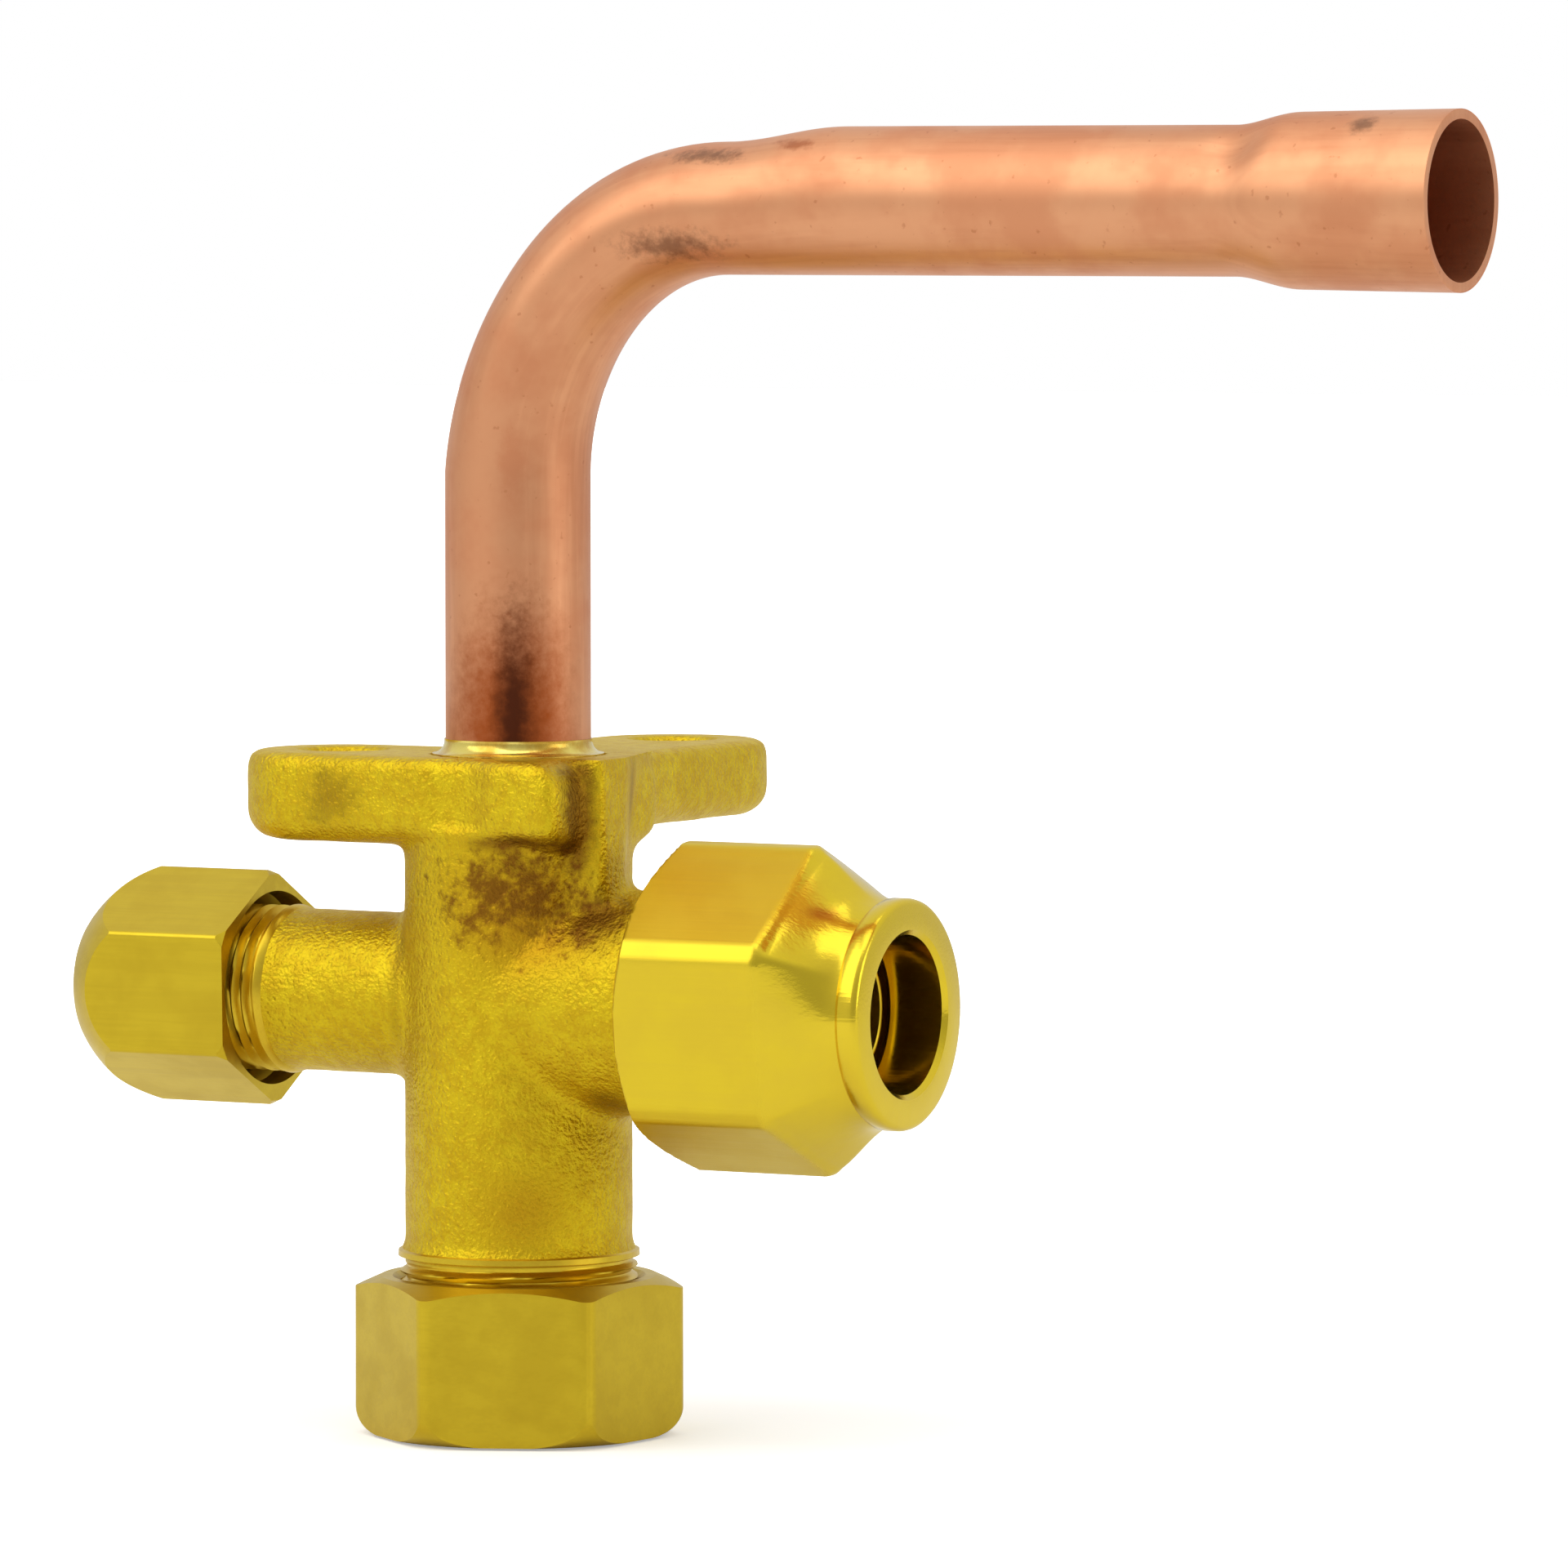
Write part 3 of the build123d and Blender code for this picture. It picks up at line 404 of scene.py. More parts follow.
class Finish:
    """A procedural material that a finish class fills in."""

    def __init__(self, name: str, effects: Effects) -> None:
        """Starts a material with one Principled shader.

        Args:
            name: The material's name.
            effects: The shared node groups.
        """
        self.material = bpy.data.materials.new(name)
        self.material.use_nodes = True
        self.tree = Tree(self.material.node_tree)
        self.effects = effects
        self.shader = self.material.node_tree.nodes["Principled BSDF"]
        self.place = self.tree.rest_place()

    def stained_and_shaded(self, colour: Socket, stains: Sequence[StainAndShade]) -> Socket:
        """Lays stains, and patches of painted shade, over a colour.

        Args:
            colour: The clean colour.
            stains: The stains and patches of painted shade, from the lowest to the topmost.

        Returns:
            The colour with its stains and painted shade.
        """
        for stain in stains:
            mask = self.tree.group(
                self.effects.stain,
                Place=self.place,
                Centre=[c * MM for c in stain.centre],
                Reach=[c * MM for c in stain.reach],
                Softness=stain.softness,
                Raggedness=stain.raggedness,
            )
            share = self.tree.math("MULTIPLY", mask.outputs["Mask"], stain.strength)
            colour = self.tree.mix(share, colour, stain.colour)
        return colour

    def metal(self, colour: Socket, roughness: Socket) -> None:
        """Makes the shader a metal.

        Args:
            colour: Its colour.
            roughness: Its roughness.
        """
        self.tree.feed(self.shader.inputs["Base Color"], colour)
        self.shader.inputs["Metallic"].default_value = 1.0
        self.tree.feed(self.shader.inputs["Roughness"], roughness)

    def bump(self, height: Socket, distance: float, strength: float) -> None:
        """Feeds the shader's normal from a height.

        Args:
            height: The height, around 0 to 1.
            distance: What a height of 1 stands for, in metres.
            strength: How much of the relief is used.
        """
        made = self.tree.node("Bump")
        made.inputs["Strength"].default_value = strength
        made.inputs["Distance"].default_value = distance
        self.tree.feed(made.inputs["Height"], height)
        self.tree.feed(self.shader.inputs["Normal"], made.outputs["Normal"])

    def dress(self, obj: bpy.types.Object) -> None:
        """Gives an object this material alone."""
        obj.data.materials.clear()
        obj.data.materials.append(self.material)


class ForgedBrass(Finish):
    """Forged and blasted brass, with heat stains around the flange and the flare port's root, a darker
    strip down the web, a painted shadow under the flange's lower edge and painted shade in the crease by
    the flare-side ear.
    """

    YELLOW = shade(0.86, 0.75, 0.13)
    OLIVE = shade(0.80, 0.68, 0.12)
    BROWN = shade(0.47, 0.29, 0.09)
    ORANGE = shade(0.70, 0.48, 0.09)
    PATCHES = (
        StainAndShade((5.0, -8.0, -12.5), (9, 6, 7.5), ORANGE, 0.7, 0.8, 1.2),
        StainAndShade((4.5, -8.5, -11.0), (8.5, 6, 5.0), BROWN, 0.85, 0.95, 3.0),
        # Painted shadow: the barrel darkened just under the flange's lower edge, where the flange
        # overhangs it.
        StainAndShade((4.5, -9.4, -6.9), (5.5, 3.0, 1.1), BROWN, 0.8, 0.8, 0.6),
        # A darker brown strip down the web, beside the flange.
        StainAndShade((8.6, -5.8, -4.6), (2.3, 4, 7), BROWN, 0.85, 0.6, 1.0),
        # Painted shade: darkening in the crease where the web runs into the flare-side ear, with a little
        # brown tint.
        StainAndShade((10.5, 1.6, -3.0), (2.6, 2.0, 5), BROWN, 0.5, 0.9, 1.2),
        StainAndShade((10.8, -5.0, -13.5), (4.4, 5, 4.2), BROWN, 0.85, 0.8, 1.2),
        StainAndShade((11.2, -5.5, -28.5), (2.8, 4, 2.6), BROWN, 0.6, 0.8, 0.8),
        StainAndShade((-8.0, -5.6, -19), (1.1, 1.8, 6.5), BROWN, 0.5, 0.8, 0.8),
        StainAndShade((-13, -8.6, -3.4), (4.2, 2.5, 3.6), BROWN, 0.5, 0.9, 2.2),
        StainAndShade((5, -8, -37), (6, 4, 5), ORANGE, 0.45, 0.9, 1.2),
    )

    def __init__(self, effects: Effects) -> None:
        """Builds the material.

        Args:
            effects: The shared node groups.
        """
        super().__init__("forged_brass", effects)
        tree = self.tree
        cloud = tree.group(effects.tarnish, Place=self.place, Spread=140.0)
        skin = tree.group(effects.cast_skin, Place=self.place, Pitting=0.25)
        colour = tree.mix(tree.math("MULTIPLY", cloud.outputs["Clouds"], 0.5), self.YELLOW, self.OLIVE)
        colour = tree.mix(tree.math("MULTIPLY", skin.outputs["Mask"], 0.3), colour, self.ORANGE)
        rough = tree.math("MULTIPLY_ADD", cloud.outputs["Clouds"], 0.06, 0.44)
        self.metal(self.stained_and_shaded(colour, self.PATCHES), rough)
        self.bump(skin.outputs["Height"], 0.00014, 1.0)


class DrawnBrass(Finish):
    """Smooth brass with lines along or around one direction, for the nut, the caps and the threads."""

    def __init__(
        self,
        name: str,
        effects: Effects,
        base: Colour,
        second: Colour,
        stretch: tuple[float, float, float],
        roughness: float = 0.25,
        relief: float = 0.00002,
        stains: Sequence[StainAndShade] = (),
        polished_from: float = 0.0,
    ) -> None:
        """Builds the material.

        Args:
            name: The material's name.
            effects: The shared node groups.
            base: The main colour.
            second: The colour of its clouds and lines.
            stretch: Scale of the lines along each axis; a small one runs along that axis.
            roughness: The metal's roughness.
            relief: Height of the lines, in metres.
            stains: Local stains.
            polished_from: Where along X, in mm, the metal becomes smoother; 0 for nowhere.
        """
        super().__init__(name, effects)
        tree = self.tree
        cloud = tree.group(effects.tarnish, Place=self.place, Spread=170.0)
        lines = tree.group(effects.drawn_lines, Place=self.place, Stretch=stretch)
        colour = tree.mix(tree.math("MULTIPLY", cloud.outputs["Clouds"], 0.4), base, second)
        colour = tree.mix(tree.math("MULTIPLY", lines.outputs["Mask"], 0.25), colour, second)
        rough = tree.math("MULTIPLY_ADD", cloud.outputs["Clouds"], 0.05, roughness)
        if polished_from:
            along = tree.node("SeparateXYZ")
            tree.feed(along.inputs[0], self.place)
            start, end = polished_from * MM, (polished_from + 0.8) * MM
            rough = tree.math("SUBTRACT", rough, tree.ramp(along.outputs["X"], start, end, 0.0, 0.2))
        self.metal(self.stained_and_shaded(colour, stains), rough)
        self.bump(lines.outputs["Height"], relief, 0.6)


class SatinCopper(Finish):
    """Annealed copper pipe, with heat tint above the flange and scuffs on the bend."""

    SALMON = shade(0.89, 0.64, 0.47)
    ROSE = shade(0.83, 0.55, 0.39)
    RUST = shade(0.62, 0.28, 0.08)
    DARK = shade(0.24, 0.12, 0.09)
    PATCHES = (
        StainAndShade((2.5, -5, 3), (8, 6, 13), RUST, 0.9, 0.8, 0.6),
        StainAndShade((2.6, -5.4, 3), (2.4, 3, 12), DARK, 0.85, 0.9, 0.8),
        StainAndShade((2.6, -5.4, 24), (1.6, 3, 4.5), ROSE, 0.9, 0.8, 1.0),
        StainAndShade((17, -5, 42), (6.5, 3, 1.8), DARK, 0.6, 0.9, 1.6),
        StainAndShade((20, -3, 49), (5.0, 3, 0.9), DARK, 0.6, 0.8, 1.6),
        StainAndShade((28, -3, 50), (2.8, 3, 0.6), RUST, 0.6, 0.8, 1.6),
        StainAndShade((78, -4, 51.5), (1.6, 3, 1.0), DARK, 0.6, 0.8, 1.2),
    )

    def __init__(self, effects: Effects) -> None:
        """Builds the material.

        Args:
            effects: The shared node groups.
        """
        super().__init__("satin_copper", effects)
        tree = self.tree
        cloud = tree.group(effects.tarnish, Place=self.place, Spread=110.0)
        along_tube = (0.05, 1, 0.05)
        lines = tree.group(effects.drawn_lines, Place=self.place, Stretch=along_tube, Fineness=2600.0)
        colour = tree.mix(tree.math("MULTIPLY", cloud.outputs["Clouds"], 0.6), self.SALMON, self.ROSE)
        colour = tree.mix(tree.math("MULTIPLY", cloud.outputs["Specks"], 0.3), colour, self.RUST)
        colour = tree.mix(tree.math("MULTIPLY", lines.outputs["Mask"], 0.12), colour, self.RUST)
        rough = tree.math("MULTIPLY_ADD", cloud.outputs["Clouds"], 0.08, 0.4)
        self.metal(self.stained_and_shaded(colour, self.PATCHES), rough)
        self.bump(lines.outputs["Height"], 0.00001, 0.5)


class PlainFinish(Finish):
    """A small finish with one colour, a little clouding and fine grain."""

    def __init__(
        self,
        name: str,
        effects: Effects,
        base: Colour,
        second: Colour,
        metallic: float,
        roughness: float,
    ) -> None:
        """Builds the material.

        Args:
            name: The material's name.
            effects: The shared node groups.
            base: The main colour.
            second: The colour of its clouds.
            metallic: 1 for a metal, 0 for rubber and plastic.
            roughness: The surface's roughness.
        """
        super().__init__(name, effects)
        tree = self.tree
        cloud = tree.group(effects.tarnish, Place=self.place, Spread=300.0)
        tree.feed(self.shader.inputs["Base Color"], tree.mix(cloud.outputs["Clouds"], base, second))
        self.shader.inputs["Metallic"].default_value = metallic
        rough = tree.math("MULTIPLY_ADD", cloud.outputs["Clouds"], 0.12, roughness)
        tree.feed(self.shader.inputs["Roughness"], rough)
        self.bump(tree.noise(self.place, 5000.0, 2.0), 0.00001, 0.5)


class Finishes:
    """Every finish of the valve, built once."""

    PALE_YELLOW = shade(0.90, 0.79, 0.20)
    SOFT_YELLOW = shade(0.88, 0.76, 0.22)
    GOLD = shade(0.86, 0.74, 0.20)
    DARK_GOLD = shade(0.78, 0.62, 0.16)
    CAP_YELLOW = shade(0.83, 0.72, 0.18)
    CAP_SHADE = shade(0.75, 0.63, 0.15)
    NUT_STAINS = (
        StainAndShade((29.2, -9.5, -15.4), (1.6, 2, 1.3), shade(0.62, 0.42, 0.14), 0.6, 0.9, 0.8),
        StainAndShade((31.5, -6.0, -11.8), (2.6, 2, 0.9), shade(0.72, 0.42, 0.16), 0.7, 0.9, 0.8),
    )

    def __init__(self, effects: Effects) -> None:
        """Builds the finishes.

        Args:
            effects: The shared node groups.
        """
        along_port = (0.02, 1, 1)
        self.forged = ForgedBrass(effects)
        self.nut = DrawnBrass(
            "nut_brass", effects, self.PALE_YELLOW, self.SOFT_YELLOW, along_port, 0.36, 0.00004,
            stains=self.NUT_STAINS, polished_from=28.2,
        )
        self.caps = DrawnBrass(
            "cap_brass", effects, self.CAP_YELLOW, self.CAP_SHADE, (0.05, 1, 1), 0.34
        )
        self.turned = DrawnBrass(
            "turned_brass", effects, self.GOLD, self.DARK_GOLD, (1, 1, 1), 0.3
        )
        self.copper = SatinCopper(effects)
        self.solder = PlainFinish(
            "brazing_alloy", effects, shade(0.93, 0.85, 0.45), shade(0.80, 0.64, 0.25), 1, 0.16
        )
        self.rubber = PlainFinish(
            "black_rubber", effects, shade(0.09, 0.09, 0.09), shade(0.13, 0.13, 0.13), 0, 0.5
        )
        self.ptfe = PlainFinish(
            "white_ptfe", effects, shade(0.90, 0.90, 0.88), shade(0.82, 0.81, 0.78), 0, 0.45
        )
        self.steel = PlainFinish(
            "spring_steel", effects, shade(0.55, 0.55, 0.57), shade(0.40, 0.39, 0.38), 1, 0.28
        )


# ---- Studio ------------------------------------------------------------------------------------


@dataclass
class Studio:
    """Pale floor, soft lamps, white surround and the camera.

    Attributes:
        azimuth: Direction of the camera round the valve, in degrees.
        elevation: Its height above the horizon, in degrees.
        distance: Its distance from the point it looks at.
        aim_right: How far that point lies to the camera's right of the valve's long axis.
        aim_height: Height of that point.
        lens: Focal length in mm, on a sensor of 36 mm.
        tent_low: Strength of the surrounding light from below.
        tent_high: Its strength from above.
        dark_azimuth: Direction in which the surround is darkest, in degrees.
        dark_side: Share of the light that is left there.
        mirrored: Share of the way to white by which metal shows the surround paler.
    """

    azimuth: float = 28.0
    elevation: float = 3.4
    distance: float = 0.808
    aim_right: float = 0.0219
    aim_height: float = -0.0025
    lens: float = 225.0
    tent_low: float = 0.42
    tent_high: float = 0.78
    dark_azimuth: float = 40.0
    dark_side: float = 0.45
    mirrored: float = 0.3

    def build(self) -> None:
        """Makes the whole studio."""
        self._camera()
        self._world()
        self._floor()
        self._lamps()
        bpy.context.scene.view_settings.view_transform = "Standard"

    def direction(self, azimuth: float, elevation: float) -> Vector:
        """Unit vector from the valve towards a place in the studio.

        Args:
            azimuth: Degrees round the valve; 0 is along -Y.
            elevation: Degrees above the horizon.

        Returns:
            The direction.
        """
        a, e = math.radians(azimuth), math.radians(elevation)
        return Vector((math.sin(a) * math.cos(e), -math.cos(a) * math.cos(e), math.sin(e)))

    def _aim(self) -> Vector:
        """Finds the point that the camera looks at.

        Returns:
            The point.
        """
        a = math.radians(self.azimuth)
        right = Vector((math.cos(a), math.sin(a), 0))
        return right * self.aim_right + Vector((0, 0, self.aim_height))

    def _camera(self) -> None:
        """Makes the camera and puts it in charge."""
        data = bpy.data.cameras.new("studio_camera")
        data.lens, data.sensor_width = self.lens, 36.0
        data.clip_start, data.clip_end = 0.01, 50.0
        camera = bpy.data.objects.new("studio_camera", data)
        back = self.direction(self.azimuth, self.elevation)
        camera.location = self._aim() + back * self.distance
        camera.rotation_euler = (-back).to_track_quat("-Z", "Y").to_euler()
        bpy.context.scene.collection.objects.link(camera)
        bpy.context.scene.camera = camera

    def _world(self) -> None:
        """White where the camera looks past the part, and a soft tent of light around it otherwise."""
        world = bpy.data.worlds.new("studio_surround")
        bpy.context.scene.world = world
        world.use_nodes = True
        tree = Tree(world.node_tree)
        towards = tree.node("TexCoord").outputs["Generated"]
        split = tree.node("SeparateXYZ")
        tree.feed(split.inputs[0], towards)
        height = tree.ramp(split.outputs["Z"], -0.5, 0.9, self.tent_low, self.tent_high)
        facing = tree.node("VectorMath", operation="DOT_PRODUCT")
        tree.feed(facing.inputs[0], towards)
        tree.feed(facing.inputs[1], self.direction(self.dark_azimuth, 0))
        shadow = tree.ramp(facing.outputs["Value"], 0.35, 1.0, 1.0, self.dark_side)
        tent = tree.math("MULTIPLY", height, shadow)
        path = tree.node("LightPath").outputs
        mirror = tree.math("MAXIMUM", path["Is Glossy Ray"], path["Is Transmission Ray"])
        white = tree.math("MULTIPLY_ADD", mirror, self.mirrored, path["Is Camera Ray"], clamp=True)
        strength = tree.math("MULTIPLY_ADD", tree.math("SUBTRACT", 1.0, tent), white, tent)
        background = world.node_tree.nodes["Background"]
        background.inputs["Color"].default_value = (1, 1, 1, 1)
        tree.feed(background.inputs["Strength"], strength)

    @staticmethod
    def _floor() -> None:
        """A pale floor just under the stem cap, which fades into the white surround further away."""
        low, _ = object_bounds()
        mesh = bpy.data.meshes.new("studio_floor")
        half = 4.0
        corners = [(-half, -half, 0), (half, -half, 0), (half, half, 0), (-half, half, 0)]
        mesh.from_pydata(corners, [], [(0, 1, 2, 3)])
        floor = bpy.data.objects.new("studio_floor", mesh)
        floor.location.z = low.z - 0.0002
        bpy.context.scene.collection.objects.link(floor)
        material = bpy.data.materials.new("pale_floor")
        material.use_nodes = True
        tree = Tree(material.node_tree)
        shader = material.node_tree.nodes["Principled BSDF"]
        place = tree.rest_place()
        mottle = tree.ramp(tree.noise(place, 40.0), 0.3, 0.7)
        paper = tree.mix(mottle, shade(0.97, 0.97, 0.97), shade(0.96, 0.96, 0.96))
        tree.feed(shader.inputs["Base Color"], paper)
        shader.inputs["Roughness"].default_value = 0.9
        shader.inputs["Emission Color"].default_value = (1, 1, 1, 1)
        glow = tree.ramp(tree.vector("LENGTH", place), 0.03, 0.16, 0.35, 1.0)
        seen = tree.node("LightPath").outputs["Is Camera Ray"]
        tree.feed(shader.inputs["Emission Strength"], tree.math("MULTIPLY", glow, seen))
        mesh.materials.append(material)
        floor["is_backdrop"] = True

    def _lamps(self) -> None:
        """Soft boxes: a large key high on the left, a fill on the right and one overhead."""
        aim = self._aim()
        lamps = (
            ("key_softbox", -34.0, 40.0, 0.7, 0.6, 1.4),
            ("fill_softbox", 95.0, 15.0, 0.8, 0.4, 0.7),
            ("top_softbox", 28.0, 82.0, 0.9, 0.7, 1.5),
        )
        for name, azimuth, elevation, distance, size, power in lamps:
            data = bpy.data.lights.new(name, "AREA")
            data.shape, data.size, data.energy = "SQUARE", size, power
            lamp = bpy.data.objects.new(name, data)
            toward = self.direction(azimuth, elevation)
            lamp.location = aim + toward * distance
            lamp.rotation_euler = (-toward).to_track_quat("-Z", "Y").to_euler()
            bpy.context.scene.collection.objects.link(lamp)


# ---- Meshes ------------------------------------------------------------------------------------


def mesh_object(
    name: str, points: Sequence[Vector], faces: Sequence[Sequence[int]], sharp: float
) -> bpy.types.Object:
    """Makes a smooth-shaded object.

    Args:
        name: The object's name.
        points: Its vertices, in metres.
        faces: Indices of each face's vertices.
        sharp: Edges that turn by more than this many degrees stay sharp.

    Returns:
        The object, linked to the scene.
    """
    mesh = bpy.data.meshes.new(name)
    mesh.from_pydata([tuple(p) for p in points], [], faces)
    model = bmesh.new()
    model.from_mesh(mesh)
    bmesh.ops.recalc_face_normals(model, faces=model.faces)
    model.to_mesh(mesh)
    model.free()
    mesh.shade_smooth()
    mesh.set_sharp_from_angle(angle=math.radians(sharp))
    obj = bpy.data.objects.new(name, mesh)
    bpy.context.scene.collection.objects.link(obj)
    return obj


def ring_faces(rings: int, around: int) -> list[tuple[int, int, int, int]]:
    """Quads between consecutive rings of vertices, of which the last joins the first.

    Args:
        rings: Number of rings.
        around: Number of vertices on each ring.

    Returns:
        The faces.
    """
    faces = []
    for i in range(rings):
        a, b = i * around, (i + 1) % rings * around
        for j in range(around):
            k = (j + 1) % around
            faces.append((a + j, a + k, b + k, b + j))
    return faces


def read_vectors(mesh: bpy.types.Mesh, what: str) -> np.ndarray:
    """Reads one vector of each vertex.

    Args:
        mesh: The mesh.
        what: Which vector: co or normal.

    Returns:
        One row for each vertex.
    """
    values = np.empty(len(mesh.vertices) * 3)
    mesh.vertices.foreach_get(what, values)
    return values.reshape(-1, 3)


def ease(value: float) -> float:
    """Smooth step from 0 to 1, flat outside."""
    value = min(max(value, 0.0), 1.0)
    return value * value * (3 - 2 * value)


def smooth(values: np.ndarray) -> np.ndarray:
    """Smooth step from 0 to 1 of many values, flat outside."""
    values = np.clip(values, 0, 1)
    return values * values * (3 - 2 * values)


def bell(values: np.ndarray, middle: float, reach: float) -> np.ndarray:
    """Bell curve of many values: 1 at its middle, and about a third at its reach."""
    return np.exp(-(((values - middle) / reach) ** 2))


def lathe(
    name: str,
    port: Port,
    profile: Sequence[tuple[float, float | None]],
    around: int,
    sharp: float,
    radius_at: Callable[[float, float], float],
) -> bpy.types.Object:
    """Makes a closed ring about a port's axis.

    Args:
        name: The object's name.
        port: The port.
        profile: Places along the axis and radii, in mm, round the ring's section.
        around: Vertices round the axis.
        sharp: Edges that turn by more than this many degrees stay sharp.
        radius_at: Gives the radius where the profile has None, from the place and the turn.

    Returns:
        The ring.
    """
    origin, outward, across, up = port.frame()
    points = []
    for along, radius in profile:
        for j in range(around):
            turn = j / around
            side = across * math.cos(turn * math.tau) + up * math.sin(turn * math.tau)
            reach = radius_at(along, turn) if radius is None else radius
            points.append(origin + (outward * along + side * reach) * MM)
    return mesh_object(name, points, ring_faces(len(profile), around), sharp)


@dataclass(frozen=True)
class Thread:
    """A screw thread on a turned end, in mm.

    Attributes:
        start: Where it begins along the axis.
        end: Where it ends.
        major: Its outer radius.
        pitch: Its pitch.
        height: Height of its ridges, as a share of the pitch.
        run_in: Turns over which it rises to its height.
        run_out: Turns over which it ends.
    """

    start: float
    end: float
    major: float
    pitch: float
    height: float = 0.6134
    run_in: float = 0.6
    run_out: float = 0.9

    def radius(self, along: float, turn: float) -> float:
        """Radius of the right-handed thread's surface.

        Args:
            along: Place along the axis.
            turn: Angle about the axis, in turns.

        Returns:
            The radius.
        """
        phase = (along / self.pitch - turn) % 1.0
        ridge = min(max(abs(phase - 0.5) * 2.4 - 0.2, 0.0), 1.0)
        ridge *= ease((along - self.start) / (self.run_in * self.pitch))
        ridge *= ease((self.end - along) / (self.run_out * self.pitch))
        return self.major - self.height * self.pitch * (1 - ridge)


@dataclass
class TurnedEnd:
    """The machined end of a port: a turned ring with the screw thread cut into its outside.

    Attributes:
        name: The piece's name.
        port: The port that it ends.
        outer: Profile before the thread, from the body outwards: places and radii, in mm.
        thread: The thread.
        inner: Profile after the thread, over the end and back through the bore.
        around: Vertices round the axis.
        rows: Rows of vertices for each pitch of the thread.
    """

    name: str
    port: Port
    outer: Sequence[tuple[float, float]]
    thread: Thread
    inner: Sequence[tuple[float, float]]
    around: int = 96
    rows: int = 8

    def build(self, finish: Finish) -> bpy.types.Object:
        """Makes the ring, dresses it and lets it ride on the valve.

        Args:
            finish: Its finish.

        Returns:
            The ring.
        """
        thread = self.thread
        steps = round((thread.end - thread.start) / thread.pitch * self.rows)
        turned = [(float(x), None) for x in np.linspace(thread.start, thread.end, steps + 1)]
        profile = [*self.outer, *turned, *self.inner]
        obj = lathe(self.name, self.port, profile, self.around, 38, thread.radius)
        finish.dress(obj)
        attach(obj, "valve")
        LOG.info("turned %s with %d points", self.name, len(obj.data.vertices))
        return obj


TURNED_ENDS = (
    TurnedEnd(
        "stem_end_thread", Port.STEM,
        ((40.4, 7.05), (40.4, 9.2), (40.75, 9.5), (40.95, 9.96), (41.4, 10.0), (41.55, 9.6)),
        Thread(41.6, 50.2, 9.9, 1.0),
        ((50.4, 9.28), (51.3, 8.6), (51.3, 7.5), (50.8, 7.0),
         (49.2, 7.0), (49.2, 7.7), (48.0, 7.7), (48.0, 7.0)),
    ),
    TurnedEnd(
        "flare_end_thread", Port.FLARE,
        ((14.0, 4.98), (14.0, 8.85), (15.6, 8.85), (15.9, 8.7)),
        Thread(16.0, 27.3, 9.525, 1.5875),
        ((27.5, 8.6), (27.7, 8.55), (30.9, 5.5), (31.0, 5.38), (31.1, 5.25), (31.1, 5.1), (31.0, 4.98)),
        rows=10,
    ),
    TurnedEnd(
        "service_end_thread", Port.SERVICE,
        ((20.6, 2.95), (20.6, 6.6), (20.85, 6.9), (21.35, 7.06), (21.5, 6.6)),
        Thread(21.6, 33.0, 7.0, 1.0),
        ((33.2, 6.4), (34.0, 6.0), (34.0, 4.6), (32.6, 3.9), (25.5, 3.9), (24.5, 2.9)),
    ),
)


